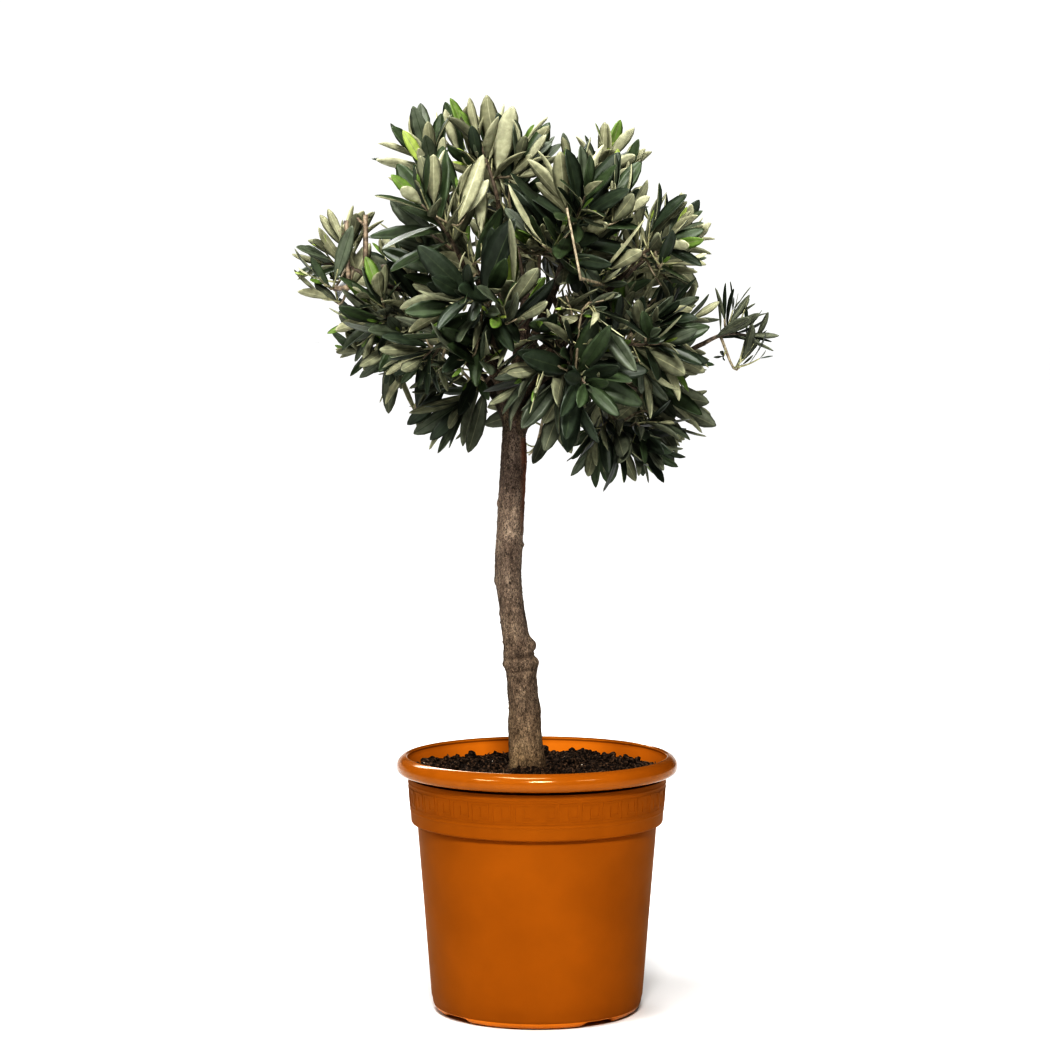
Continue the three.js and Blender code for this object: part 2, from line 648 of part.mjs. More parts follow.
// A leaf: a slim six-faced lozenge, flat above and keeled below, from its root,
// sunk in the shoot, to its tip.
function leafSolid({ node, along, direction, normal, long, wide }) {
  const root = towards(node, along, -ROOT_SUNK);
  const tip = towards(node, direction, long);
  const whole = root.distanceTo(tip);
  const length = tip.clone().sub(root).divideScalar(whole);
  const below = unit(towards(normal, length, -normal.dot(length))).negate();
  const breadth = vec(0, 0, 0).crossVectors(length, below);
  const profile = [[0, 0], [1, LEAF_WIDEST], [0, 1]].map(([r, h]) => new THREE.Vector2(r, h));
  const lozenge = new THREE.LatheGeometry(profile, 3); // its section is root 3 wide, 1.5 deep
  lozenge.scale((wide * LEAF_FULLNESS) / Math.sqrt(3), whole, (long * LEAF_THICKNESS) / 1.5);
  const frame = new THREE.Matrix4().makeBasis(breadth, length, below);
  return solidOf(lozenge.applyMatrix4(frame.setPosition(root)));
}

// A mass's twigs and leaves in one piece, cut clear of any limb they brush.
function massSolid(mass) {
  const pieces = [twigSolid(mass.stem, BOUGH_TIP, SHOOT_TIP, mass.aim)];
  for (const shoot of mass.shoots) pieces.push(twigSolid(shoot, SHOOT_RADIUS, SHOOT_TIP));
  for (const leaf of mass.leaves) pieces.push(leafSolid(leaf));
  let solid = wasm.Manifold.union(pieces);
  for (const [limb, wood] of limbSolids)
    if (solid.intersect(wood).volume() > 0) solid = solid.subtract(limbSolid(limb, GAP));
  return settled(solid);
}

// ---------------------------------------------------------------- assembly
masses.forEach((mass) => (mass.walls = wallsOf(mass)));
masses.forEach(findStart);

const trunk = makeTrunk();
const limbs = [trunk];
for (const mass of masses) {
  const parent = limbs.find((limb) => limb.name === mass.parent);
  if (mass.share === 1) {
    // this mass grows from the limb's own tip
    const [tip, along] = onLine(parent.line, 1);
    mass.start = towards(tip, along, GAP);
    mass.aim = along;
    continue;
  }
  limbs.push(makeBough(mass, parent));
}

// Each limb is cut clear of the limbs before it.
const limbSolids = new Map();
for (const limb of limbs) {
  let solid = limbSolid(limb, 0);
  for (const before of limbSolids.keys()) solid = solid.subtract(limbSolid(before, GAP));
  limbSolids.set(limb, settled(solid));
}

for (const mass of masses) {
  mass.near = limbsNear(mass, limbs);
  growMass(mass);
}

// ---------------------------------------------------------------- scene graph
const looks = {
  pot: new THREE.MeshStandardMaterial({ color: 0xc05c10, roughness: 0.4, metalness: 0 }),
  soil: new THREE.MeshStandardMaterial({ color: 0x2e2420, roughness: 0.95, metalness: 0 }),
  bark: new THREE.MeshStandardMaterial({ color: 0x74604a, roughness: 0.8, metalness: 0 }),
  leaf: new THREE.MeshStandardMaterial({ color: 0x3c4c36, roughness: 0.5, metalness: 0 }),
};

const tree = new THREE.Group();
function addNode(name, solid, look) {
  const mesh = new THREE.Mesh(geometryOf(solid), look);
  mesh.name = name;
  tree.add(mesh);
}

addNode("pot", makePot(), looks.pot);
addNode("soil", makeSoil(), looks.soil);
for (const [limb, solid] of limbSolids)
  addNode(limb === trunk ? "trunk" : "bough_" + limb.name, solid, looks.bark);
for (const mass of masses) addNode("foliage_" + mass.name, massSolid(mass), looks.leaf);

export default tree;
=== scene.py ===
# %% [markdown]
# # A potted olive tree
#
# A young olive stands on a clear stem in a 24 cm nursery pot. Its head is a
# loose ball of leafy shoots. The plant is made here in the order it is seen:
# the studio, the pot, the soil, the trunk and its boughs, and last the twigs
# and leaves, which grow by one seeded rule from the tips of the boughs.
#
# All sizes are written in millimetres and turned into metres when a mesh is
# made, because a maker thinks of leaves and pots in millimetres.

# %% Load the frame
import json
import math

import bmesh
import bpy
import numpy as np
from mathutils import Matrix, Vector, noise

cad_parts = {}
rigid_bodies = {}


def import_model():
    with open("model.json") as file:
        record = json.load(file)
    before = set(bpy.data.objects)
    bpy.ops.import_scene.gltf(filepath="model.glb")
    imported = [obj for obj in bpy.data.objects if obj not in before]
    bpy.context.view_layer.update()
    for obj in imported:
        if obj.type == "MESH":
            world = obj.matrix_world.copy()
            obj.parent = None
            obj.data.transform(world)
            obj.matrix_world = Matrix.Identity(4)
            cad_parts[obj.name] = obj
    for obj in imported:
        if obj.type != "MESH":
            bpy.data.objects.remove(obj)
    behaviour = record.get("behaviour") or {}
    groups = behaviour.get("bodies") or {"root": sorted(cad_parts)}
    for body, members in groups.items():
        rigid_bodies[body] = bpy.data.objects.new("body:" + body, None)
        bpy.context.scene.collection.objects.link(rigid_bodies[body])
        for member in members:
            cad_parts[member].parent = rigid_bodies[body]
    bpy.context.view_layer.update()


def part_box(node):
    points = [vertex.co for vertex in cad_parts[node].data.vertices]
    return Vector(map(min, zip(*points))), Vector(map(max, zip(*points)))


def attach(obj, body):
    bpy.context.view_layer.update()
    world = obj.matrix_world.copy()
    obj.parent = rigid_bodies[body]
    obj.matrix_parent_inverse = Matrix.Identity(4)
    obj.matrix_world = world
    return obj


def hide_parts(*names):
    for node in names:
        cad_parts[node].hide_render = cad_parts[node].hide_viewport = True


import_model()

MM = 0.001
pot_low, pot_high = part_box("pot")
LIP_RADIUS = (pot_high[0] - pot_low[0]) / 2 / MM
POT_HEIGHT = (pot_high[2] - pot_low[2]) / MM
print("pot radius", round(LIP_RADIUS, 1), "height", round(POT_HEIGHT, 1))

# %% [markdown]
# ## Helpers
#
# Every finished piece sits at the origin with its place in its mesh, rides on
# the one body of the plant and hides the plain solids that it stands for. One
# function does this for all of them.

# %% Finish a piece
def finish_piece(name, mesh, materials, nodes=()):
    """Dress a mesh, put it on the plant's body, and hide the plain solids that it stands for."""
    for material in materials:
        mesh.materials.append(material)
    piece = bpy.data.objects.new(name, mesh)
    bpy.context.scene.collection.objects.link(piece)
    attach(piece, "root")
    if nodes:
        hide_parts(*nodes)
    print(name, len(mesh.polygons), "faces")


def mesh_from_bmesh(bm, name):
    """A smooth mesh in metres from a bmesh in millimetres."""
    bmesh.ops.scale(bm, vec=(MM, MM, MM), verts=bm.verts)
    mesh = bpy.data.meshes.new(name)
    bm.to_mesh(mesh)
    bm.free()
    mesh.shade_smooth()
    return mesh


def join_bmesh(bm, other):
    """Add one bmesh to another, by way of a mesh."""
    part = bpy.data.meshes.new("part")
    other.to_mesh(part)
    other.free()
    bm.from_mesh(part)


def mesh_from_arrays(name, points, faces, slots=None):
    """A joined mesh from stacked copies: points in mm, faces of point numbers."""
    mesh = bpy.data.meshes.new(name)
    mesh.from_pydata((points * MM).tolist(), [], faces)
    if slots is not None:
        mesh.polygons.foreach_set("material_index", np.asarray(slots, dtype=np.int32))
    mesh.shade_smooth()
    mesh.update()
    return mesh


def template_arrays(bm):
    """A small mesh as arrays: its points, and its faces as point numbers."""
    bm.verts.ensure_lookup_table()
    bm.faces.ensure_lookup_table()
    points = np.array([v.co[:] for v in bm.verts])
    faces = [[v.index for v in f.verts] for f in bm.faces]
    bm.free()
    return points, faces


# %% [markdown]
# Material recipes share a few small steps: a fresh Principled shader, a noise
# that reads the object's own coordinates, and a colour ramp between two or more
# tones. Object coordinates are in metres here, so a noise scale of 100 makes
# blotches of about a centimetre.

# %% Material helpers
def new_node(tree, kind, **values):
    """A new shader node, with constants on the sockets that are named."""
    node = tree.nodes.new("ShaderNode" + kind)
    for socket, value in values.items():
        node.inputs[socket.replace("_", " ")].default_value = value
    return node


class Recipe:
    """One material and the few node-making steps that the recipes share."""

    def __init__(self, name, roughness, color=(0.5, 0.5, 0.5)):
        self.material = bpy.data.materials.new(name)
        self.material.use_nodes = True
        self.tree = self.material.node_tree
        self.shader = self.tree.nodes["Principled BSDF"]
        self.shader.inputs["Roughness"].default_value = roughness
        self.shader.inputs["Base Color"].default_value = (*color, 1)
        self.coords = new_node(self.tree, "TexCoord")

    def link(self, source, target):
        self.tree.links.new(source, target)

    def noise(self, scale, detail=4.0, stretch=(1, 1, 1), rough=0.55, curl=0.0):
        """Noise in the object's own coordinates, drawn out where stretch is below 1."""
        mapping = new_node(self.tree, "Mapping", Scale=stretch)
        settings = {"Scale": scale, "Detail": detail, "Roughness": rough, "Distortion": curl}
        texture = new_node(self.tree, "TexNoise", **settings)
        self.link(self.coords.outputs["Object"], mapping.inputs["Vector"])
        self.link(mapping.outputs["Vector"], texture.inputs["Vector"])
        return texture.outputs["Fac"]

    def place_ramp(self, axis, start, end):
        """0 to 1 along one axis of the object, between two places in metres."""
        split = new_node(self.tree, "SeparateXYZ")
        share = new_node(self.tree, "MapRange", From_Min=start, From_Max=end)
        self.link(self.coords.outputs["Object"], split.inputs[0])
        self.link(split.outputs[axis], share.inputs["Value"])
        return share.outputs["Result"]

    def multiply(self, first, second):
        node = new_node(self.tree, "Math")
        node.operation = "MULTIPLY"
        self.link(first, node.inputs[0])
        self.link(second, node.inputs[1])
        return node.outputs[0]

    def ramp(self, value, stops):
        """A colour for each value: stops are places from 0 to 1 with their colours."""
        node = new_node(self.tree, "ValToRGB")
        elements = node.color_ramp.elements
        while len(elements) < len(stops):
            elements.new(0.5)
        for element, (place, color) in zip(elements, stops):
            element.position = place
            element.color = (*color, 1)
        self.link(value, node.inputs["Fac"])
        return node.outputs["Color"]

    def mix(self, share, first, second, kind="MIX"):
        """Blend two colours or colour sockets. The share is a number or a socket."""
        node = new_node(self.tree, "Mix")
        node.data_type = "RGBA"
        node.blend_type = kind
        if isinstance(share, float):
            node.inputs["Factor"].default_value = share
        else:
            self.link(share, node.inputs["Factor"])
        for socket, value in ((node.inputs[6], first), (node.inputs[7], second)):
            if isinstance(value, tuple):
                socket.default_value = (*value, 1)
            else:
                self.link(value, socket)
        return node.outputs[2]

    def bump(self, value, strength, distance_mm):
        node = new_node(self.tree, "Bump", Strength=strength, Distance=distance_mm * MM)
        self.link(value, node.inputs["Height"])
        self.link(node.outputs["Normal"], self.shader.inputs["Normal"])

    def color(self, source):
        self.link(source, self.shader.inputs["Base Color"])


# %% [markdown]
# ## Studio
#
# The plant stands on a wide pale floor. The main lamp hangs high in front and
# gives the lip its long highlights. Two weaker ones, left and right of it, round
# off the pot and the stem, and a wide lamp high behind draws a rim of light
# along the head. A broad sun from overhead keeps the floor white and lights the
# leaves from above.

# %% Camera
CAMERA_PLACE = (-10.3, -2689, 609)
CAMERA_TILT = 4.11  # degrees down
CAMERA_LENS = 108.75

camera_data = bpy.data.cameras.new("camera")
camera_data.sensor_width = 36
camera_data.lens = CAMERA_LENS
camera = bpy.data.objects.new("camera", camera_data)
camera.location = Vector(CAMERA_PLACE) * MM
camera.rotation_euler = (math.radians(90 - CAMERA_TILT), 0, 0)
bpy.context.scene.collection.objects.link(camera)
bpy.context.scene.camera = camera
print("camera at", CAMERA_PLACE, "tilted", CAMERA_TILT)

# %% Floor
FLOOR_RADIUS = 40000
bm = bmesh.new()
bmesh.ops.create_circle(bm, cap_ends=True, segments=96, radius=FLOOR_RADIUS)
floor_recipe = Recipe("studio_floor", 0.9, (0.66, 0.66, 0.66))
floor_mesh = mesh_from_bmesh(bm, "studio_floor")
floor_mesh.materials.append(floor_recipe.material)
floor = bpy.data.objects.new("studio_floor", floor_mesh)
bpy.context.scene.collection.objects.link(floor)

# %% Lights
LAMP_DISTANCE = 3.0
LAMP_TARGET = Vector((0, 0, 0.42))
WARM = (1, 0.985, 0.96)


def aim(thing, place, target):
    thing.location = place
    thing.rotation_euler = (target - place).to_track_quat("-Z", "Y").to_euler()
    bpy.context.scene.collection.objects.link(thing)


def add_softbox(name, turn, rise, watts, wide, high, tint=(1, 1, 1)):
    """A soft lamp, turned by degrees from the front to the right, raised by degrees."""
    data = bpy.data.lights.new(name, "AREA")
    data.shape = "RECTANGLE"
    data.size = wide
    data.size_y = high
    data.energy = watts
    data.color = tint
    level = math.cos(math.radians(rise))
    toward = Vector((
        level * math.sin(math.radians(turn)),
        -level * math.cos(math.radians(turn)),
        math.sin(math.radians(rise)),
    ))
    aim(bpy.data.objects.new(name, data), LAMP_TARGET + toward * LAMP_DISTANCE, LAMP_TARGET)


add_softbox("left_box", -47, 33, 28, 0.8, 0.4, WARM)
add_softbox("front_box", 3, 33, 92, 0.8, 0.4, WARM)
add_softbox("right_box", 46, 33, 10, 0.8, 0.4)
add_softbox("rim_box", -160, 30, 20, 1.6, 0.5)

sun_data = bpy.data.lights.new("floor_sun", "SUN")
sun_data.energy = 2.9
sun_data.angle = math.radians(24)
sun = bpy.data.objects.new("floor_sun", sun_data)
sun.rotation_euler = (math.radians(7), math.radians(-6), 0)
bpy.context.scene.collection.objects.link(sun)
print("lamps", len(bpy.data.lights))

# %% [markdown]
# A studio's wall is white only where it stands behind the plant. Above, below
# and at the sides the room is dim, which keeps the shadows between the leaves
# deep and lets the pot darken towards its edges. The world is therefore a level
# bright band that fades upwards and downwards, and to both sides as well.

# %% World
BAND_EDGES = (0.095, 0.17)  # how far up and down the band starts and ends to fade
BAND_STRENGTHS = (0.62, 0.06)  # in the band, and above and below it
SIDE_SHIFT = 0.2  # the band's middle is this far to the left
SIDE_EDGES = (0.4, 0.65)
SIDE_SHARES = (1.0, 0.12)  # of that strength, in the middle and at the sides

world = bpy.data.worlds.new("studio")
world.use_nodes = True
tree, links = world.node_tree, world.node_tree.links
background = tree.nodes["Background"]
background.inputs["Color"].default_value = (1, 1, 1, 1)
view_direction = new_node(tree, "TexCoord")
split = new_node(tree, "SeparateXYZ")
links.new(view_direction.outputs["Generated"], split.inputs[0])


def fade(value, shift, edges, results):
    """One result near the middle and the other past the edges, softly in between."""
    shifted = new_node(tree, "Math")
    shifted.inputs[1].default_value = shift
    away = new_node(tree, "Math")
    away.operation = "ABSOLUTE"
    low, high = edges
    near, far = results
    soft = new_node(tree, "MapRange", From_Min=low, From_Max=high, To_Min=near, To_Max=far)
    soft.interpolation_type = "SMOOTHSTEP"
    links.new(value, shifted.inputs[0])
    links.new(shifted.outputs[0], away.inputs[0])
    links.new(away.outputs[0], soft.inputs["Value"])
    return soft.outputs["Result"]


strength = new_node(tree, "Math")
strength.operation = "MULTIPLY"
links.new(fade(split.outputs["Z"], 0, BAND_EDGES, BAND_STRENGTHS), strength.inputs[0])
links.new(fade(split.outputs["X"], SIDE_SHIFT, SIDE_EDGES, SIDE_SHARES), strength.inputs[1])
links.new(strength.outputs[0], background.inputs["Strength"])
bpy.context.scene.world = world
bpy.context.scene.view_settings.view_transform = "Standard"
bpy.context.scene.view_settings.look = "Very High Contrast"
print("world band", BAND_STRENGTHS)

# %% [markdown]
# ## The pot
#
# A nursery pot is one thin skin of moulded plastic: a flat bottom with a
# rounded edge, a wall that widens upwards, a step, a straighter collar with two
# thin rings, a deep crease, and a thick rounded lip. Such a turned shape is
# quickest to make as a lathe does it: draw one side and spin it. Outside and
# inside are spun apart, so that the drain recesses can be pressed into each,
# and then joined at the lip.

# %% Pot sizes
POT_WALL = 2.4
FLOOR_THICKNESS = 3.0
FOOT_RADIUS = 89.4
FOOT_ROUND = 9.9
BODY_TOP_RADIUS = 102.3
STEP_Z = 161.5
STEP_SLOPE = 3  # height over which the wall steps out
COLLAR_FOOT_RADIUS = 107.5
COLLAR_TOP_RADIUS = 110.6
LIP_HEIGHT = 15.3
LIP_THICKNESS = 9.6
LIP_UNDER = POT_HEIGHT - LIP_HEIGHT
LOWER_ROUND = 5.2  # the lip's rounding below, above and towards the inside
UPPER_ROUND = 9.0
INNER_ROUND = 2.0
CREASE_DEPTH = 1.4  # the crease where the collar meets the lip
CREASE_HEIGHT = 2.6
NOTCH_WIDTH = 38.0
NOTCH_HEIGHT = 5.0
NOTCH_DEPTH = 14.0
NOTCH_TURN = 37.0  # degrees from the front, to the right
RINGS_Z = (173.4, 196.6)  # two thin rings on the collar, with the keys between them
RING_HALF = 1.2
RING_HEIGHT = 0.35
SPIN_STEPS = 240


def arc(centre, radius, start, end, count):
    """Points [r, z] round a centre, from one angle to another in degrees."""
    turns = np.radians(np.linspace(start, end, count))
    return [(centre[0] + radius * math.cos(a), centre[1] + radius * math.sin(a)) for a in turns]


def outside_radius(z):
    """The wall's outer radius at a height, below and above the step."""
    if z <= STEP_Z:
        return FOOT_RADIUS + (BODY_TOP_RADIUS - FOOT_RADIUS) * z / STEP_Z
    share = max(0.0, (z - STEP_Z - STEP_SLOPE) / (LIP_UNDER - STEP_Z - STEP_SLOPE))
    return COLLAR_FOOT_RADIUS + (COLLAR_TOP_RADIUS - COLLAR_FOOT_RADIUS) * share


def ring_bulge(z):
    """How far the two thin rings stand out at a height."""
    away = min(1.0, min(abs(z - ring) for ring in RINGS_Z) / RING_HALF)
    return RING_HEIGHT * (0.5 + 0.5 * math.cos(math.pi * away))


# %% Outside and inside profiles
foot_centre = (FOOT_RADIUS - FOOT_ROUND, FOOT_ROUND)
# Radii across the bottom, close together where the drain recesses end.
outside = [(r, 0.0) for r in (0, 30, 55, 68, 73.5, 75.2, 75.6, 76.5)]
outside += arc(foot_centre, FOOT_ROUND, -90, 0, 12)
outside += [(outside_radius(z), z) for z in np.linspace(14, STEP_Z - 1.2, 24)]
outside += [(BODY_TOP_RADIUS - 0.05, STEP_Z - 0.6), (BODY_TOP_RADIUS - 0.4, STEP_Z)]
outside += arc((COLLAR_FOOT_RADIUS - 2.2, STEP_Z + 2.6), 2.2, -80, 0, 7)
collar_rows = np.arange(166, LIP_UNDER - CREASE_HEIGHT, 0.6)  # fine enough for the rings
outside += [(outside_radius(z) + ring_bulge(z), z) for z in collar_rows]
crease_radius = COLLAR_TOP_RADIUS - CREASE_DEPTH
outside += [(crease_radius, LIP_UNDER - CREASE_HEIGHT + 0.5), (crease_radius, LIP_UNDER)]
lower_centre = (LIP_RADIUS - LOWER_ROUND, LIP_UNDER + LOWER_ROUND)
upper_centre = (LIP_RADIUS - UPPER_ROUND, POT_HEIGHT - UPPER_ROUND)
inner_centre = (LIP_RADIUS - LIP_THICKNESS + INNER_ROUND, POT_HEIGHT - INNER_ROUND)
outside += arc(lower_centre, LOWER_ROUND, -110, -10, 9)
outside += arc(upper_centre, UPPER_ROUND, 8, 78, 9)
outside += arc(inner_centre, INNER_ROUND, 96, 165, 6)

inside = [(LIP_RADIUS - LIP_THICKNESS + 0.5, POT_HEIGHT - 3.2)]
inside += [(LIP_RADIUS - LIP_THICKNESS - 0.1, POT_HEIGHT - 6)]
inside += [(COLLAR_TOP_RADIUS - POT_WALL, LIP_UNDER - 2)]
inside += [(outside_radius(z) - POT_WALL, z) for z in np.linspace(LIP_UNDER - 6, STEP_Z + 3, 10)]
inside += [(outside_radius(z) - POT_WALL, z) for z in np.linspace(STEP_Z - 1, 14, 10)]
inside += arc((foot_centre[0], foot_centre[1] + 0.5), FOOT_ROUND - POT_WALL, 0, -90, 7)
inside += [(r, FLOOR_THICKNESS) for r in (75, 72.5, 70, 50, 25, 0)]
print("profile points", len(outside), "outside,", len(inside), "inside")


# %% Spin the pot and press in the recesses
def spin_profile(bm, profile):
    """Spin a profile of [r, z] points once round the upright axis."""
    verts = [bm.verts.new((0.0, -r, z)) for r, z in profile]
    edges = [bm.edges.new(pair) for pair in zip(verts, verts[1:])]
    bmesh.ops.spin(
        bm,
        geom=verts + edges,
        cent=(0, 0, 0),
        axis=(0, 0, 1),
        angle=2 * math.pi,
        steps=SPIN_STEPS,
        use_merge=True,
    )
    bmesh.ops.remove_doubles(bm, verts=bm.verts, dist=0.001)


def recess_share(x, y):
    """1 in the middle of a drain recess, falling to 0 over its sloped ends."""
    turn = math.degrees(math.atan2(x, -y)) - NOTCH_TURN
    across = math.radians((turn + 45) % 90 - 45) * FOOT_RADIUS
    return min(1.0, max(0.0, (NOTCH_WIDTH / 2 - abs(across)) / NOTCH_HEIGHT))


def spun_part(profile, recess_height, from_radius):
    """One skin of the pot with its recesses."""
    bm = bmesh.new()
    spin_profile(bm, profile)
    for v in bm.verts:
        if v.co.z < recess_height and math.hypot(v.co.x, v.co.y) > from_radius:
            v.co.z = max(v.co.z, recess_height * recess_share(v.co.x, v.co.y))
    return bm


bm = bmesh.new()
recess_radius = FOOT_RADIUS - NOTCH_DEPTH
join_bmesh(bm, spun_part(outside, NOTCH_HEIGHT, recess_radius))
join_bmesh(bm, spun_part(inside, NOTCH_HEIGHT + POT_WALL, recess_radius - POT_WALL))
open_edges = [e for e in bm.edges if e.is_boundary]
bmesh.ops.bridge_loops(bm, edges=open_edges)
bmesh.ops.recalc_face_normals(bm, faces=bm.faces)
print("pot open edges", len(open_edges))

# %% [markdown]
# A key pattern in very low relief runs round the collar between two thin rings.
# One key is six straight bars on a small grid. The bars are stretched cubes,
# laid out flat along a strip, and the strip is then wrapped round the collar.

# %% Key pattern
KEYS = 36
KEY_COLUMNS = 5  # grid steps from one key to the next
KEY_FOOT = 177
KEY_ROW = 3.9  # height of a grid step
# Each bar from one grid corner to another: column, row, column, row.
KEY_BARS = [(0, 0, 5, 0), (0, 0, 0, 4), (0, 4, 4, 4), (4, 1, 4, 4), (2, 1, 4, 1), (2, 1, 2, 3)]
BAR_WIDTH = 1.5
BAR_RELIEF = 0.38
BAR_SUNK = 0.4
UPRIGHT_LOWER = 0.05  # upright bars are this much lower, so that no two faces are flush

key_radius = outside_radius(KEY_FOOT)
KEY_COLUMN = 2 * math.pi * key_radius / (KEYS * KEY_COLUMNS)
key_strip = bmesh.new()
for key in range(KEYS):
    for left, low, right, high in KEY_BARS:
        relief = BAR_RELIEF if low == high else BAR_RELIEF - UPRIGHT_LOWER
        wide = (right - left) * KEY_COLUMN + BAR_WIDTH
        tall = (high - low) * KEY_ROW + BAR_WIDTH
        along = (key * KEY_COLUMNS + (left + right) / 2) * KEY_COLUMN
        bar = bmesh.ops.create_cube(key_strip, size=1)["verts"]
        bmesh.ops.scale(key_strip, vec=(wide, relief + BAR_SUNK, tall), verts=bar)
        place = (along, (BAR_SUNK - relief) / 2, KEY_FOOT + KEY_ROW * (low + high) / 2)
        bmesh.ops.translate(key_strip, vec=place, verts=bar)
long_edges = []
for edge in key_strip.edges:
    if abs(edge.verts[0].co.x - edge.verts[1].co.x) > 1.5 * KEY_COLUMN:
        long_edges.append(edge)
bmesh.ops.subdivide_edges(key_strip, edges=long_edges, cuts=4, use_grid_fill=True)
for v in key_strip.verts:
    turn = v.co.x / key_radius
    radius = outside_radius(v.co.z) - v.co.y
    v.co = (radius * math.sin(turn), -radius * math.cos(turn), v.co.z)
shell_faces = len(bm.faces)
join_bmesh(bm, key_strip)
pot_mesh = mesh_from_bmesh(bm, "pot_shell")
for face in list(pot_mesh.polygons)[shell_faces:]:
    face.use_smooth = False  # crisp, so that the bars don't look like cushions
print("key bars", KEYS * len(KEY_BARS))

# %% [markdown]
# The plastic is a warm orange brown and never quite even: the colour shifts in
# faint clouds, and handling has left it dull in patches. Slow noise moves the
# colour and the roughness, and a very fine one gives the moulded skin. The wall
# came out of a matt mould. The lip is polished, and its plastic is painted a
# tenth brighter, as painted light on its rounded top. The inside is painted more
# than twice as bright as the wall: a painted glow that stands for light shining
# through the thin wall. The crease under the lip is painted nearly black, a
# painted shade under the overhanging lip.

# %% Pot plastic
def pot_plastic(name, brightness, smooth, rough, ior, sheen_tint):
    """The orange plastic with its roughness drifting between two values."""
    plastic = Recipe(name, rough)
    plastic.shader.inputs["IOR"].default_value = ior
    plastic.shader.inputs["Specular Tint"].default_value = (*sheen_tint, 1)
    tones = [
        (0.30, (0.188, 0.065, 0.0058)),
        (0.55, (0.210, 0.073, 0.0066)),
        (0.75, (0.230, 0.080, 0.0074)),
    ]
    tones = [(place, tuple(c * brightness for c in tone)) for place, tone in tones]
    plastic.color(plastic.ramp(plastic.noise(14, 5), tones))
    drift = new_node(plastic.tree, "MapRange", To_Min=smooth, To_Max=rough)
    plastic.link(plastic.noise(38, 6), drift.inputs["Value"])
    plastic.link(drift.outputs["Result"], plastic.shader.inputs["Roughness"])
    plastic.bump(plastic.noise(900, 3), 0.12, 0.25)
    return plastic.material


pot_plastics = [
    pot_plastic("wall_plastic", 1.0, 0.40, 0.62, 1.12, (1, 0.5, 0.25)),
    # The lip is a tenth brighter than the wall: painted light, besides its polish.
    pot_plastic("polished_lip_painted_light", 1.1, 0.09, 0.17, 1.32, (1, 0.85, 0.7)),
    # The inside is more than twice as bright: a painted glow for light through the thin wall.
    pot_plastic("inside_painted_glow", 2.3, 0.25, 0.40, 1.30, (1, 0.6, 0.35)),
    # The crease is nearly black: painted shade under the lip.
    pot_plastic("crease_painted_shade", 0.10, 0.60, 0.80, 1.12, (1, 0.5, 0.25)),
]
LIP, INSIDE_PAINTED_GLOW, CREASE_PAINTED_SHADE = 1, 2, 3  # every other face keeps the wall's plastic, number 0
# Every face gets its plastic: the crease its painted shade, the inside its painted glow.
for face in pot_mesh.polygons:
    middle = face.center / MM
    from_axis = math.hypot(middle.x, middle.y)
    if abs(middle.z - LIP_UNDER + 1) < CREASE_HEIGHT - 1 and abs(from_axis - crease_radius) < 1.2:
        face.material_index = CREASE_PAINTED_SHADE
    elif middle.z > LIP_UNDER:
        face.material_index = LIP if from_axis > LIP_RADIUS - LIP_THICKNESS + 0.2 else INSIDE_PAINTED_GLOW
    elif from_axis < outside_radius(middle.z) - POT_WALL / 2:
        face.material_index = INSIDE_PAINTED_GLOW
finish_piece("pot_shell", pot_mesh, pot_plastics, ["pot"])

# %% [markdown]
# ## The soil
#
# Peat-dark compost fills the pot to a finger's width below the lip. Its top has
# slow swells, a heap behind the trunk, a bank at the left wall, and crumbs a few
# millimetres across. The bed is one spun disc whose top is lifted by noise.
# Loose crumbs, bark fibres and pale grit lie on it as joined copies of one small
# lump.

# %% Soil bed
SOIL_LEVEL = 206.0
SEAT_RADIUS = 27.0  # level ground round the trunk's foot
SEAT_EDGE = 12.0  # over which the ground changes from level to lumpy
SETTLED = 0.6  # the whole top has sunk by this much
SOIL_FOOT = 8  # the bed's flat underside, out of sight in the pot
SOIL_LUMPS = 1.44  # height of the soil's gentle swells
# Rises in the soil: right, back, height, and the square of how far each spreads.
SOIL_RISES = [(36, 52, 6, 900), (-88, -5, 4, 500)]
TRUNK_FOOT = (-9.0, 4.0)
MOUND = 6.0  # the soil is drawn up round the trunk's foot
MOUND_RADIUS = 13
MOUND_SLOPE = 5  # falls off over about this far
soil_edge = outside_radius(SOIL_LEVEL - 10) - POT_WALL - 0.5  # half a millimetre of air


def soil_height(x, y):
    """The soil's level without its crumbs, as in the solid model, with its mound."""
    lift = SOIL_LUMPS * (math.sin(x / 17 + 1) * math.cos(y / 13) + math.sin((x + y) / 9) * 0.5)
    for right, back, height, spread in SOIL_RISES:
        lift += height * math.exp(-((x - right) ** 2 + (y - back) ** 2) / spread)
    from_trunk = math.hypot(x - TRUNK_FOOT[0], y - TRUNK_FOOT[1])
    open_share = min(1.0, max(0.0, (from_trunk - SEAT_RADIUS) / SEAT_EDGE))
    mound = MOUND * math.exp(-max(0.0, from_trunk - MOUND_RADIUS) / MOUND_SLOPE)
    return SOIL_LEVEL + open_share * lift + mound


def crumble(x, y):
    """Small lumps of the soil's top, a few millimetres across."""
    place = Vector((x, y, 0))
    coarse = noise.noise(place / 11)
    fine = noise.noise(place / 4.2) * 0.5 + noise.noise(place / 1.9) * 0.28
    return 2.6 * coarse + 2.4 * fine


def soil_top(x, y):
    return soil_height(x, y) + crumble(x, y) - SETTLED


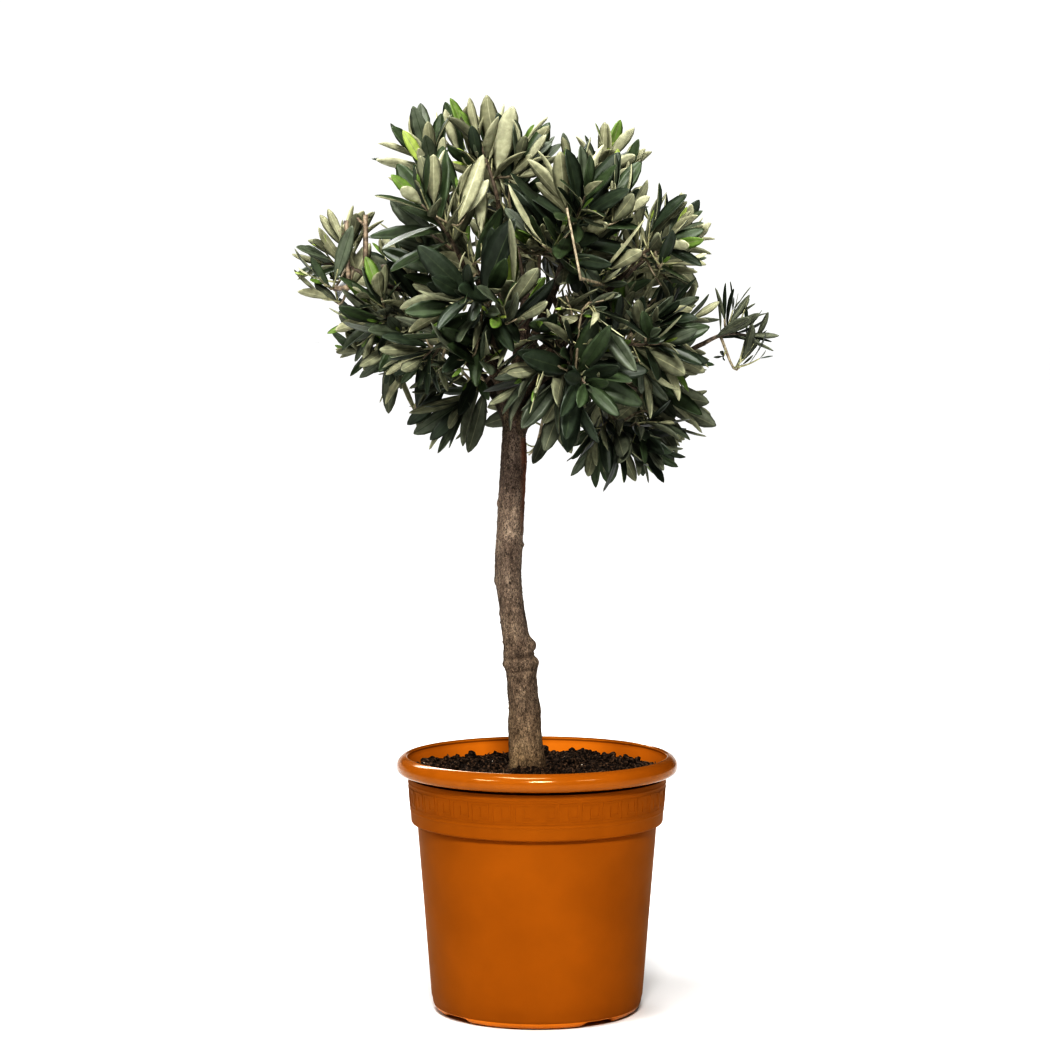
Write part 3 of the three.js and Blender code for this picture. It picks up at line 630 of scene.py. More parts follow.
bm = bmesh.new()
soil_profile = [(r, SOIL_LEVEL) for r in np.linspace(0, soil_edge, 80)]
soil_profile += [(soil_edge - 0.3, SOIL_LEVEL - 14), (outside_radius(STEP_Z) - POT_WALL - 1, STEP_Z - 2)]
soil_profile += [(outside_radius(20) - POT_WALL - 1, 20), (70, SOIL_FOOT), (0, SOIL_FOOT)]
spin_profile(bm, soil_profile)
for v in bm.verts:
    if v.co.z > SOIL_LEVEL - 1:
        v.co.z = soil_top(v.co.x, v.co.y)
bmesh.ops.recalc_face_normals(bm, faces=bm.faces)
soil_mesh = mesh_from_bmesh(bm, "soil_bed")
print("soil radius", round(soil_edge, 1))

# %% Soil colour
peat = Recipe("peat", 0.95)
peat.shader.inputs["Specular IOR Level"].default_value = 0.2
grains = peat.noise(420, 6)
peat.color(
    peat.ramp(
        grains,
        [(0.36, (0.006, 0.0038, 0.0026)), (0.50, (0.019, 0.012, 0.008)), (0.68, (0.120, 0.076, 0.048))],
    )
)
peat.bump(grains, 0.6, 1.2)
finish_piece("soil_bed", soil_mesh, [peat.material], ["soil"])


# %% Scatter crumbs, fibres and grit
def lump_template():
    """The points and triangles of a small ball pushed out of round."""
    bm = bmesh.new()
    bmesh.ops.create_icosphere(bm, subdivisions=2, radius=1.0)
    for v in bm.verts:
        v.co *= 1 + 0.45 * noise.noise(v.co * 1.7)
    points, faces = template_arrays(bm)
    return points, np.array(faces)


def turn_matrices(rng, count):
    """Random turns as 3 by 3 matrices, one for each copy."""
    q = rng.normal(size=(count, 4))
    q /= np.linalg.norm(q, axis=1)[:, None]
    w, x, y, z = q.T
    rows = [
        [1 - 2 * (y * y + z * z), 2 * (x * y - w * z), 2 * (x * z + w * y)],
        [2 * (x * y + w * z), 1 - 2 * (x * x + z * z), 2 * (y * z - w * x)],
        [2 * (x * z - w * y), 2 * (y * z + w * x), 1 - 2 * (x * x + y * y)],
    ]
    return np.moveaxis(np.array(rows), -1, 0)


def scatter_lumps(rng, count, small, large, stretch, upright=1.0, clear=16.0):
    """Copies of the lump on the soil, sized in mm and kept clear of the trunk."""
    template, faces = lump_template()
    radius = soil_edge * 0.985 * np.sqrt(rng.random(count))
    turn = rng.random(count) * 2 * math.pi
    x, y = radius * np.cos(turn), radius * np.sin(turn)
    keep = np.hypot(x - TRUNK_FOOT[0], y - TRUNK_FOOT[1]) > clear
    x, y = x[keep], y[keep]
    size = small + (large - small) * rng.random(len(x)) ** 2.5
    z = np.array([soil_top(a, b) for a, b in zip(x, y)]) + size * 0.25
    scaled = template[None] * size[:, None, None] * np.array(stretch)
    turned = np.einsum("nij,nkj->nki", turn_matrices(rng, len(x)), scaled)
    turned[:, :, 2] *= upright
    points = turned + np.stack([x, y, z], 1)[:, None]
    offsets = np.arange(len(x))[:, None, None] * len(template)
    return points.reshape(-1, 3), (faces[None] + offsets).reshape(-1, 3)


soil_rng = np.random.default_rng(24)
crumb_sets = [
    scatter_lumps(soil_rng, 1500, 0.7, 3.2, (1, 0.85, 0.7)),  # crumbs
    scatter_lumps(soil_rng, 130, 2.5, 5.5, (1, 0.8, 0.6)),  # clods
    scatter_lumps(soil_rng, 260, 1.4, 4.0, (1.9, 0.16, 0.16), 0.5),  # fibres
    scatter_lumps(soil_rng, 60, 0.5, 1.1, (1, 0.9, 0.8)),  # grit
]
counts = np.cumsum([0] + [len(points) for points, _ in crumb_sets])
crumb_points = np.concatenate([points for points, _ in crumb_sets])
crumb_faces = np.concatenate([faces + start for (_, faces), start in zip(crumb_sets, counts)])
crumb_finishes = [0, 0, 1, 2]  # peat, peat, fibre and grit
crumb_slots = np.repeat(crumb_finishes, [len(faces) for _, faces in crumb_sets])

fibre = Recipe("bark_fibre", 0.9, (0.12, 0.075, 0.042))
fibre.color(fibre.ramp(fibre.noise(300, 3), [(0.3, (0.04, 0.025, 0.015)), (0.7, (0.15, 0.098, 0.058))]))
grit = Recipe("pale_grit", 0.85, (0.42, 0.38, 0.32))
grit.color(grit.ramp(grit.noise(500, 2), [(0.3, (0.30, 0.27, 0.22)), (0.7, (0.50, 0.46, 0.40))]))
crumb_mesh = mesh_from_arrays("soil_crumbs", crumb_points, crumb_faces.tolist(), crumb_slots)
finish_piece("soil_crumbs", crumb_mesh, [peat.material, fibre.material, grit.material])

# %% [markdown]
# ## How the crown grows
#
# The plant is a trunk, some two dozen boughs and as many masses of leaves. The
# same short table that sizes the solid model sizes the looks: each mass has a
# heart, a reach, the way its shoots rise, the length of its leaves, the fan of
# its shoots, a seed, and the limb that its bough leaves. Each mass fills a ball
# round its heart, cut flat halfway to every neighbouring ball, so no two masses
# run into each other. Points are plain number triples, worked out exactly.

# %% Sizes of the limbs and the masses
GAP = 0.3  # clear air between neighbouring pieces
# The trunk's axis from the soil to the leader's tip: right, back, up, radius.
TRUNK = [
    (-9, 4, SOIL_LEVEL + GAP, 15.5),
    (-11.5, 4, 260, 13),
    (-14, 4, 290, 12.6),
    (-21.5, 2, 345, 10.4),
    (-24.6, 2, 375, 11.2),
    (-23, 4, 415, 11.2),
    (-20, 4, 470, 11),
    (-19, 6, 505, 9),
    (-14, 8, 560, 6.5),
    (-9, 12, 612, 4),
]
TRUNK_STEPS = 27
CROWN = (0, 0, 590)  # centre of the whole head
BOUGH_STEPS = 5
BOUGH_SHARE = 0.72  # a bough's first radius, as a share of its parent's
BOUGH_MOST = 6.5
BOUGH_TIP = 1.9
BOUGH_TAPER = 0.8  # below 1, a bough thins fastest near its root
BOUGH_TURN = 1.4  # how strongly it turns to its mass as it leaves its parent
BOUGH_BOW = (0.35, 0.3)  # how far it runs straight at its root and at its tip
START_BACK = 0.8  # a mass starts this share of its reach behind its heart
START_BELOW = 0.25  # and this share below it where its shoots rise
START_ROOM = 3  # and this far inside its space
STEM_LIFT = 0.6  # how much the rise of the shoots lifts the stem too
STEM_BOW = 0.55  # share of the stem that keeps the bough's direction
STEM_STEPS = 3
SHOOTS_PER_MASS = 4.6  # for a mass of reach 60
SHOOT_STEPS = 2
SHOOT_ROOM = 1.6  # between a shoot's axis and the edge of the space
SHOOT_LEAST = 0.4  # a shoot cut shorter than this share is left out
LIMB_ROOM = 0.2  # further room between a shoot and another mass's limb
TIP_SHORT = 0.72  # a shoot ends this share of a leaf short, which leaves room for its top leaves
LEAF_PAIRS = 3  # on each shoot, from its tip down
PAIR_STEP = 9
BUD = 1.5  # the shoot's tip stands this far beyond the last pair
OPENING = 12  # degrees that each pair of leaves opens further than the one above
TIP_LEAF = 0.62  # size of the top pair, as a share of the mass's leaf
LEAF_GROWTH = 0.15  # further size of each pair below it
LEAF_SLIMMEST = 0.25  # width as a share of the length
LEAF_WIDENING = 0.07  # the broadest is this much more
LEAF_FULLNESS = 1.45  # room is kept for a leaf this much broader
LEAF_SCALES = (1.45, 1.2, 1, 0.85)  # sizes tried in turn until the leaf fits
LEAF_CLEAR = 0.5  # between a leaf's edge and another mass's limb
TIP_ROOM = 0.2  # between a leaf's tip and the edge of the space
EDGE_ROOM = 0.9  # and between its edges and that
LEAF_ROOM = 0.3  # leaves of two shoots stay this share of their widths apart
SPINE = (0.3, 0.55, 0.8)  # places along a leaf where that is measured
SEED_STEP = 7919  # keeps the streams of neighbouring masses apart
SHOOT_SEED = 101  # and those of neighbouring shoots
# The masses: heart (right, back, up), reach, rise of the shoots, leaf length,
# spread of the shoots in degrees, seed, the limb its bough starts from and where.
MASSES = [
    ("top_left", -88, 0, 718, 58, 1.6, 61, 81, 850, "trunk", 0.69),
    ("top_crown", -41, -10, 721, 60, 1.5, 51, 73, 833, "top_left", 0.6),
    ("top_middle", -33, 35, 730, 70, 1.3, 58, 105, 816, "trunk", 1),
    ("top_right", 51, 5, 714, 51, 1.6, 53, 86, 430, "trunk", 0.84),
    ("right_far", 91, -15, 576, 71, 1.9, 51, 127, 559, "trunk", 0.74),
    ("right_upper", 98, 15, 649, 59, 1.5, 55, 67, 785, "right_far", 0.45),
    ("left_upper", -67, -35, 652, 73, 1, 66, 88, 257, "top_left", 0.42),
    ("left_far", -159, 5, 637, 53, 1.4, 52, 74, 432, "left_upper", 0.5),
    ("front_right", 91, -75, 652, 56, 1.5, 65, 60, 134, "trunk", 0.8),
    ("front_upper_right", 29, -85, 669, 78, 1, 53, 106, 757, "front_right", 0.45),
    ("right_tip", 158, 15, 579, 48, 2, 50, 62, 249, "right_far", 0.55),
    ("left_low", -119, -20, 595, 64, 0.5, 52, 104, 189, "trunk", 0.71),
    ("front_left", -87, -80, 571, 48, 0.4, 52, 89, 759, "trunk", 0.77),
    ("front_upper_left", -77, -85, 667, 72, 2, 65, 130, 559, "front_left", 0.4),
    ("front_centre", -45, -115, 611, 78, 0.9, 66, 126, 65, "trunk", 0.79),
    ("front_low", 28, -105, 552, 78, -0.9, 57, 135, 494, "front_centre", 0.35),
    ("right_low", 81, -75, 569, 64, -0.5, 53, 64, 714, "trunk", 0.72),
    ("right_bottom", 72, -25, 500, 63, -1, 52, 74, 642, "right_low", 0.4),
    ("left_bottom", -63, -10, 521, 52, -1.3, 58, 92, 520, "left_low", 0.6),
    ("back_left", -101, 85, 604, 72, 2.3, 58, 135, 385, "trunk", 0.75),
    ("back_right", 70, 95, 616, 75, 1.3, 53, 117, 312, "trunk", 0.78),
    ("back_low", 10, 100, 520, 63, 2.2, 63, 60, 482, "trunk", 0.73),
    ("back_top", 3, 110, 660, 74, 0.2, 62, 134, 427, "trunk", 0.88),
    ("left_back", -103, 60, 580, 78, 1.2, 64, 99, 553, "back_left", 0.4),
    ("right_back", 88, 70, 527, 78, -0.5, 63, 111, 154, "back_right", 0.4),
]


# %% Directions and curves
UP = np.array((0.0, 0.0, 1.0))
GOLDEN_ANGLE = math.radians(137.50776)


def vec(*numbers):
    return np.array(numbers, dtype=float)


def unit(v):
    return v / math.sqrt(v @ v)


def cross(a, b):
    return vec(a[1] * b[2] - a[2] * b[1], a[2] * b[0] - a[0] * b[2], a[0] * b[1] - a[1] * b[0])


def across(axis):
    """Two directions square to an axis and to each other."""
    side = unit(cross(axis, UP if abs(axis[2]) < 0.9 else vec(1, 0, 0)))
    return side, cross(side, axis)


def lean(axis, tip, turn):
    """An axis tipped over by an angle, towards a spoke at another angle round it."""
    side, following = across(axis)
    spoke = side * math.cos(turn) + following * math.sin(turn)
    return unit(axis * math.cos(tip) + spoke * math.sin(tip))


def mix(p, q, share):
    return p + (q - p) * share


def curve_point(p0, p1, p2, t):
    """The point at a share of the curve from p0 to p2 that sets out towards p1."""
    return mix(mix(p0, p1, t), mix(p1, p2, t), t)


def bend(p0, p1, p2, steps):
    return [curve_point(p0, p1, p2, i / steps) for i in range(steps + 1)]


def smooth_line(points, steps):
    """A smooth line through all the points, with a number of steps between each two."""
    before = 2 * points[0] - points[1]
    after = 2 * points[-1] - points[-2]
    whole = [before, *points, after]
    line = []
    for k in range(len(points) - 1):
        p0, p1, p2, p3 = whole[k : k + 4]
        for i in range(steps):
            t = i / steps
            line.append(
                p1
                + (p2 - p0) * t / 2
                + (2 * p0 - 5 * p1 + 4 * p2 - p3) * t**2 / 2
                + (3 * p1 - p0 - 3 * p2 + p3) * t**3 / 2
            )
    return line + [points[-1]]


def on_line(line, share):
    """The point at a share of a line of points, and the line's direction there."""
    at = share * (len(line) - 1)
    i = min(int(at), len(line) - 2)
    return mix(line[i], line[i + 1], at - i), unit(line[i + 1] - line[i])


def line_length(line):
    return sum(math.dist(a, b) for a, b in zip(line, line[1:]))


def stream(seed):
    """A repeatable stream of numbers from 0 to 1."""
    whole = 0xFFFFFFFF
    state = seed & whole

    def draw():
        nonlocal state
        state = (state + 0x6D2B79F5) & whole
        t = (state ^ (state >> 15)) * (state | 1) & whole
        t ^= (t + ((t ^ (t >> 7)) * (t | 61) & whole)) & whole
        return (t ^ (t >> 14)) / 4294967296

    return draw


# %% [markdown]
# A mass is described once and then carries what grows in it: its stem, its
# shoots, its finer twigs and its leaves. Its space is a list of flat walls, kept
# as arrays so that one line tests a point against them all.

# %% The masses and their spaces
class Mass:
    """One mass of leaves: its row of the table, its space, and what has grown in it."""

    def __init__(self, name, x, y, z, reach, rise, leaf, spread, seed, parent, share):
        self.name = name
        self.heart = vec(x, y, z)
        self.reach = reach
        self.rise = rise
        self.leaf = leaf
        self.spread = math.radians(spread)
        self.seed = seed
        self.parent = parent
        self.share = share
        self.leaves = []
        self.shoots = []

    def find_walls(self, others):
        """Flat walls halfway to the neighbours: their directions and distances."""
        directions, limits = [], []
        for other in others:
            apart = math.dist(self.heart, other.heart)
            if other is self or apart > self.reach + other.reach:
                continue
            direction = (other.heart - self.heart) / apart
            at = (apart**2 + self.reach**2 - other.reach**2) / (2 * apart)
            directions.append(direction)
            limits.append(direction @ self.heart + at - GAP / 2)
        self.walls = np.array(directions)
        self.limits = np.array(limits)

    def inside(self, p, room):
        """Whether a point lies in the mass's space with some room to spare."""
        if math.dist(p, self.heart) > self.reach - room:
            return False
        return bool(np.all(self.walls @ p <= self.limits - room))

    def find_start(self):
        """The place on the crown's side of the space where the mass's stem starts."""
        outward = unit((self.heart - vec(*CROWN)) * vec(1, 1, 0.8))
        self.axis = unit(outward + UP * self.rise * STEM_LIFT)
        behind = self.heart - outward * self.reach * START_BACK
        behind = behind - UP * self.reach * START_BELOW * max(self.rise, 0)
        tries = (mix(behind, self.heart, i / 20) for i in range(21))
        self.start = next(p for p in tries if self.inside(p, START_ROOM))
        self.aim = unit(self.heart + self.axis * self.reach * 0.1 - self.start)

    def clear(self, p, room):
        """Whether a point keeps clear of every other mass's limb."""
        offset = p - self.near_start
        share = np.clip(np.einsum("ij,ij->i", offset, self.near_run) / self.near_length2, 0, 1)
        apart = np.linalg.norm(offset - self.near_run * share[:, None], axis=1)
        return bool(np.all(apart >= self.near_radius + room))

    def find_limbs_near(self, limbs):
        """Every straight stretch of the other masses' limbs, as arrays."""
        starts, runs, radii = [], [], []
        for limb in limbs:
            if limb.name == self.name:
                continue
            for i in range(len(limb.line) - 1):
                starts.append(limb.line[i])
                runs.append(limb.line[i + 1] - limb.line[i])
                radii.append(max(limb.radii[i], limb.radii[i + 1]))
        self.near_start = np.array(starts)
        self.near_run = np.array(runs)
        self.near_radius = np.array(radii)
        self.near_length2 = np.einsum("ij,ij->i", self.near_run, self.near_run)


masses = [Mass(*row) for row in MASSES]
for mass in masses:
    mass.find_walls(masses)
    mass.find_start()
print("masses", len(masses))

# %% [markdown]
# A bough leaves its parent limb, turns towards its mass and ends at the mass's
# edge, thinning all the way. The trunk's own axis is a smooth line through ten
# points.

# %% Trunk and bough lines
class Limb:
    def __init__(self, name, line, radii):
        self.name = name
        self.line = line
        self.radii = radii


def trunk_limb():
    """The trunk's axis and radii in even steps."""
    points = [vec(*row[:3]) for row in TRUNK]
    per_point = TRUNK_STEPS // (len(TRUNK) - 1)
    shares = np.linspace(0, len(TRUNK) - 1, TRUNK_STEPS + 1)
    radii = np.interp(shares, range(len(TRUNK)), [row[3] for row in TRUNK])
    return Limb("trunk", smooth_line(points, per_point), list(radii))


def bough_limb(mass, parent):
    """A bough from its place on the parent limb to where the mass's stem starts."""
    root, along = on_line(parent.line, mass.share)
    length = math.dist(root, mass.start)
    ring = int(mass.share * (len(parent.line) - 1) + 0.5)
    first = min(parent.radii[ring] * BOUGH_SHARE, BOUGH_MOST)
    tip = mass.start - mass.aim * GAP
    out = unit(along + unit(mass.start - root) * BOUGH_TURN)
    p1 = root + out * length * BOUGH_BOW[0]
    p2 = tip - mass.aim * length * BOUGH_BOW[1]
    shares = [i / BOUGH_STEPS for i in range(BOUGH_STEPS + 1)]
    line = []
    for t in shares:
        line.append(mix(curve_point(root, p1, p2, t), curve_point(p1, p2, tip, t), t))
    radii = [first + (BOUGH_TIP - first) * t**BOUGH_TAPER for t in shares]
    return Limb(mass.name, line, radii)


trunk = trunk_limb()
limbs = [trunk]
for mass in masses:
    parent = next(limb for limb in limbs if limb.name == mass.parent)
    if mass.share == 1:  # this mass grows from the limb's own tip
        tip, along = on_line(parent.line, 1)
        mass.start = tip + along * GAP
        mass.aim = along
        continue
    limbs.append(bough_limb(mass, parent))
print("limbs", len(limbs))

# %% [markdown]
# Each mass has one stem through its middle, and shoots fanned round it by the
# golden angle, so that none lies over another. Leaves stand in opposite pairs
# down each shoot, every pair a quarter turn from the last. A shoot is cut short,
# and a leaf is made smaller or skipped, where it would leave the space, touch a
# limb or lie on another leaf.

# %% Shoots and leaves
class Leaf:
    """A leaf's place, the way it points and faces, its size, and its pair on the shoot."""

    def __init__(self, shoot, pair, node, direction, normal, long, wide):
        self.shoot = shoot
        self.pair = pair
        self.node = node
        self.direction = direction
        self.normal = normal
        self.side = cross(normal, direction)
        self.long = long
        self.wide = wide
        self.spine = node + direction * (long * vec(*SPINE)[:, None])


def kept_part(mass, p0, p1, p2, room, steps):
    """The first part of a curve that keeps to the mass's space, or nothing."""
    kept = 0
    for i in range(1, 13):
        t = i / 12
        p = curve_point(p0, p1, p2, t)
        if not mass.inside(p, room) or not mass.clear(p, room + LIMB_ROOM):
            break
        kept = t
    if kept < SHOOT_LEAST:
        return None
    return bend(p0, mix(p0, p1, kept), curve_point(p0, p1, p2, kept), steps)


def leaf_fits(mass, leaf):
    """Whether a leaf keeps to its space, off the limbs and off other shoots' leaves."""
    half = leaf.wide * LEAF_FULLNESS * 0.5
    middle = leaf.node + leaf.direction * leaf.long / 2
    if not mass.inside(leaf.node + leaf.direction * leaf.long, TIP_ROOM):
        return False
    for edge in (middle + leaf.side * half, middle - leaf.side * half):
        if not mass.inside(edge, EDGE_ROOM):
            return False
    for share in (0.2, 0.45, 0.7, 1):
        if not mass.clear(leaf.node + leaf.direction * leaf.long * share, half + LEAF_CLEAR):
            return False
    others = [other for other in mass.leaves if other.shoot is not leaf.shoot]
    if not others:
        return True
    spines = np.array([other.spine for other in others])
    room = LEAF_ROOM * (leaf.wide + np.array([other.wide for other in others]))
    apart = np.linalg.norm(spines[:, None, :, :] - leaf.spine[None, :, None, :], axis=3)
    return bool(np.all(apart.min(axis=(1, 2)) >= room))


def add_leaves(mass, shoot, draw, most, first=0):
    """Pairs of leaves down a shoot, from its tip. Each leaf that doesn't fit is left out."""
    length = line_length(shoot)
    spin = draw() * math.pi
    for pair in range(first, most):
        r = [draw() for _ in range(8)]
        share = 1 - (BUD + pair * PAIR_STEP) / length
        if share < 0.08:  # too near the shoot's root
            break
        node, along = on_line(shoot, share)
        opening = math.radians(10 + OPENING * min(pair, 4) + 12 * r[0])
        size = mass.leaf * (TIP_LEAF + LEAF_GROWTH * min(pair, 3)) * (0.85 + 0.3 * r[1])
        for side in (0, 1):
            turn = spin + (pair / 2 + side) * math.pi + 0.6 * (r[2 + side] - 0.5)
            direction = lean(along, opening * (0.8 + 0.4 * r[4 + side]), turn)
            up = unit(along - direction * (along @ direction)) + UP * 0.25
            normal = unit(up - direction * (up @ direction))
            for scale in LEAF_SCALES:
                long = size * scale
                wide = long * (LEAF_SLIMMEST + LEAF_WIDENING * r[6 + side])
                leaf = Leaf(shoot, pair, node, direction, normal, long, wide)
                if leaf_fits(mass, leaf):
                    mass.leaves.append(leaf)
                    break


def grow(mass):
    """The stem and shoots of the solid model, with their top leaves."""
    draw = stream(mass.seed * SEED_STEP + 17)

    def shoot_tip(outward, finish):
        goal = mass.heart + outward * mass.reach * (0.9 + 0.1 * draw())
        return goal - finish * mass.leaf * TIP_SHORT

    top = shoot_tip(mass.axis, unit(mass.axis + UP * mass.rise))
    bow = mass.start + mass.aim * math.dist(mass.start, top) * STEM_BOW
    mass.stem = kept_part(mass, mass.start, bow, top, SHOOT_ROOM, STEM_STEPS)
    if mass.stem is None:
        mass.stem = bend(mass.start, mix(mass.start, mass.heart, 0.5), mass.heart, STEM_STEPS)
    add_leaves(mass, mass.stem, stream(mass.seed * SEED_STEP + SHOOT_SEED), LEAF_PAIRS)
    turn = draw() * 2 * math.pi
    count = max(3, int(SHOOTS_PER_MASS * (mass.reach / 60) ** 2 + 0.5))
    for k in range(1, count):
        share = (k + 0.3) / count
        tipped = mass.spread * math.sqrt(share) * (0.92 + 0.16 * draw())
        outward = lean(mass.axis, tipped, turn + k * GOLDEN_ANGLE)
        root, _ = on_line(mass.stem, 0.85 - 0.6 * share)
        finish = unit(outward + UP * mass.rise)
        tip = shoot_tip(outward, finish)
        before = tip - finish * math.dist(tip, root) / 2
        shoot = kept_part(mass, root, before, tip, SHOOT_ROOM, SHOOT_STEPS)
        if shoot is None:
            continue
        mass.shoots.append(shoot)
        own_stream = stream(mass.seed * SEED_STEP + SHOOT_SEED * (k + 1))
        add_leaves(mass, shoot, own_stream, LEAF_PAIRS)


# %% [markdown]
# The looks go further than the solids: every shoot gets more pairs of leaves
# below its first three, and short side twigs with leaves of their own. The rule
# is the same, and so are the spaces that they keep to. Every tip also ends in
# two small young leaves, as a growing shoot does.

# %% Finer twigs
FINE_PAIRS = 7
TWIG_STEPS = 3
TWIG_SPACING = 12
TWIG_ROOM = 1.2
FINE_SEED = 50021
BUD_SEED = 70001


def grow_finer(mass):
    """More leaves down each shoot, and side twigs all round it."""
    mass.twigs = []
    for k, shoot in enumerate([mass.stem, *mass.shoots]):
        draw = stream(mass.seed * SEED_STEP + FINE_SEED + SHOOT_SEED * (k + 1))
        add_leaves(mass, shoot, draw, FINE_PAIRS, LEAF_PAIRS)
        count = max(1, int(line_length(shoot) / TWIG_SPACING + 0.5))
        for s in range(count):
            root, along = on_line(shoot, 0.2 + 0.6 * (s + draw()) / count)
            tipped = 0.6 + 0.5 * draw()
            outward = lean(along, tipped, draw() * 2 * math.pi + s * 2.4)
            outward = unit(outward + UP * 0.35 * mass.rise)
            long = 13 + 14 * draw()
            tip = root + outward * long + UP * 3 * mass.rise
            twig = kept_part(mass, root, root + outward * long / 2, tip, TWIG_ROOM, TWIG_STEPS)
            if twig is None:
                continue
            mass.twigs.append(twig)
            add_leaves(mass, twig, draw, LEAF_PAIRS)


BUD_PAIR = -1  # the number given to the pair of young leaves at a tip


def add_bud_leaves(mass, line, draw):
    """A pair of small upright leaves on the very tip of a shoot or twig."""
    along = unit(line[-1] - line[-2])
    spin = draw() * math.pi
    long = 10 + 9 * draw()  # millimetres, as for the twigs
    for side in (0, 1):
        direction = lean(along, math.radians(9 + 12 * draw()), spin + side * math.pi)
        normal = unit(along - direction * (along @ direction))
        wide = long * (0.22 + 0.06 * draw())
        leaf = Leaf(line, BUD_PAIR, line[-1], direction, normal, long, wide)
        if mass.inside(line[-1] + direction * long, TIP_ROOM):
            mass.leaves.append(leaf)


for mass in masses:
    mass.find_limbs_near(limbs)
    grow(mass)
    grow_finer(mass)
for mass in masses:
    draw = stream(mass.seed * SEED_STEP + BUD_SEED)
    for line in [mass.stem, *mass.shoots, *mass.twigs]:
        add_bud_leaves(mass, line, draw)
print("shoots", sum(len(m.shoots) for m in masses), "twigs", sum(len(m.twigs) for m in masses))
print("leaves", sum(len(m.leaves) for m in masses))

# %% [markdown]
# ## Trunk and boughs
#
# The stem of a young olive is grey-brown and nearly smooth, but never round: it
# swells at its foot, bulges where side shoots were cut off, and carries shallow
# upright furrows and small raised pores. Each limb starts as a straight tube,
# cut into many rings. The rings are then carried to their places along the
# limb's line, and the skin between them is pushed in and out by noise that is
# stretched along the limb.

# %% Tubes along a line
def ring_frames(line):
    """Two directions across the line at each of its points, without any twist."""
    side, _ = across(unit(line[1] - line[0]))
    frames = []
    for i in range(len(line)):
        axis = unit(line[min(i + 1, len(line) - 1)] - line[max(i - 1, 0)])
        side = unit(side - axis * (side @ axis))
        frames.append((side, cross(side, axis)))
    return frames


def straight_tube(sides, steps):
    """A closed upright tube of radius 1 with its rings one unit apart."""
    bm = bmesh.new()
    bmesh.ops.create_cone(bm, cap_ends=True, segments=sides, radius1=1, radius2=1, depth=steps)
    upright = [e for e in bm.edges if abs(e.verts[0].co.z - e.verts[1].co.z) > 0.5]
    bmesh.ops.subdivide_edges(bm, edges=upright, cuts=steps - 1)
    bmesh.ops.translate(bm, vec=(0, 0, steps / 2), verts=bm.verts)
    return bm


def limb_tube(line, sides, radius_at):
    """A tube along a line. radius_at(ring, turn, place) is its radius there."""
    bm = straight_tube(sides, len(line) - 1)
    frames = ring_frames(line)
    for v in bm.verts:
        ring = round(v.co.z)
        turn = math.atan2(v.co.y, v.co.x)
        side, following = frames[ring]
        spoke = side * math.cos(turn) + following * math.sin(turn)
        v.co = line[ring] + spoke * radius_at(ring, turn, line[ring] + spoke * 10)
    bmesh.ops.recalc_face_normals(bm, faces=bm.faces)
    return bm


# %% The trunk's skin
# Scars and buds: height above the ground, degrees from the front, swelling, half
# height, and half width in radians.
SCARS = [
    (312, 74, 4.9, 5.5, 0.42),
    (306, 78, -1.4, 1.3, 0.45),
    (297, 82, 4.1, 7.5, 0.60),
    (307, 10, 1.3, 2.6, 1.60),
    (302, 20, -2.4, 1.3, 1.60),
    (297, 10, 1.0, 2.4, 1.60),
    (291, 0, -1.3, 1.0, 1.20),
    (300, -78, 1.9, 6, 0.50),
    (434, -84, 1.5, 3, 0.30),
    (399, 86, 1.4, 3, 0.30),
    (369, -86, 1.4, 3, 0.30),
    (342, -80, 0.9, 4, 0.40),
    (258, 80, 1.2, 7, 0.60),
    (248, -60, 1.2, 7, 0.45),
    (244, -20, 0.9, 3.4, 0.32),
    (244, -20, -1.1, 1.6, 0.20),
    (382, -10, 0.6, 2.2, 0.40),
]
FLARE = 0.13  # unevenness of the root flare, as a share of the radius
FLARE_HEIGHT = 18
FLARE_LOBES = 3
TRUNK_SIDES = 120
RINGS_PER_POINT = 40
FOOT_SUNK = 8  # the foot goes on this far into the soil


def furrow(place, across_mm, along_mm):
    """Noise stretched along the limb."""
    return noise.noise(Vector((place[0] / across_mm, place[1] / across_mm, place[2] / along_mm)))


def bark_relief(place):
    broad = 0.50 * furrow(place, 8, 16)
    furrows = 0.42 * furrow(place, 2.4, 7) + 0.42 * furrow(place, 1.2, 2.4)
    pores = max(0.0, furrow(place + 40, 1.5, 1.1) - 0.40) * 1.6
    return broad + furrows + pores


fine_line = smooth_line([vec(*row[:3]) for row in TRUNK], RINGS_PER_POINT)
fine_radii = np.interp(
    np.arange(len(fine_line)) / RINGS_PER_POINT, range(len(TRUNK)), [row[3] for row in TRUNK]
)


def trunk_radius(ring, turn, place):
    """The trunk's radius with its root flare, scars and bark."""
    z = fine_line[ring][2]
    rise = z - SOIL_LEVEL
    flare = FLARE * math.cos(FLARE_LOBES * turn + 0.6) * math.exp(-rise / FLARE_HEIGHT)
    radius = fine_radii[ring] * (1 + flare)
    for height, facing, swell, half, breadth in SCARS:
        apart = (turn - math.radians(180 - facing) + math.pi) % (2 * math.pi) - math.pi
        radius += swell * math.exp(-(((z - height) / half) ** 2) - (apart / breadth) ** 2)
    return radius + bark_relief(place)


fine_line = [fine_line[0] - UP * FOOT_SUNK] + fine_line
fine_radii = np.insert(fine_radii, 0, fine_radii[0])
bm = limb_tube(fine_line, TRUNK_SIDES, trunk_radius)
trunk_mesh = mesh_from_bmesh(bm, "trunk_bark")
print("trunk rings", len(fine_line))

# %% Boughs
BOUGH_RINGS = 36
BOUGH_SIDES = 20


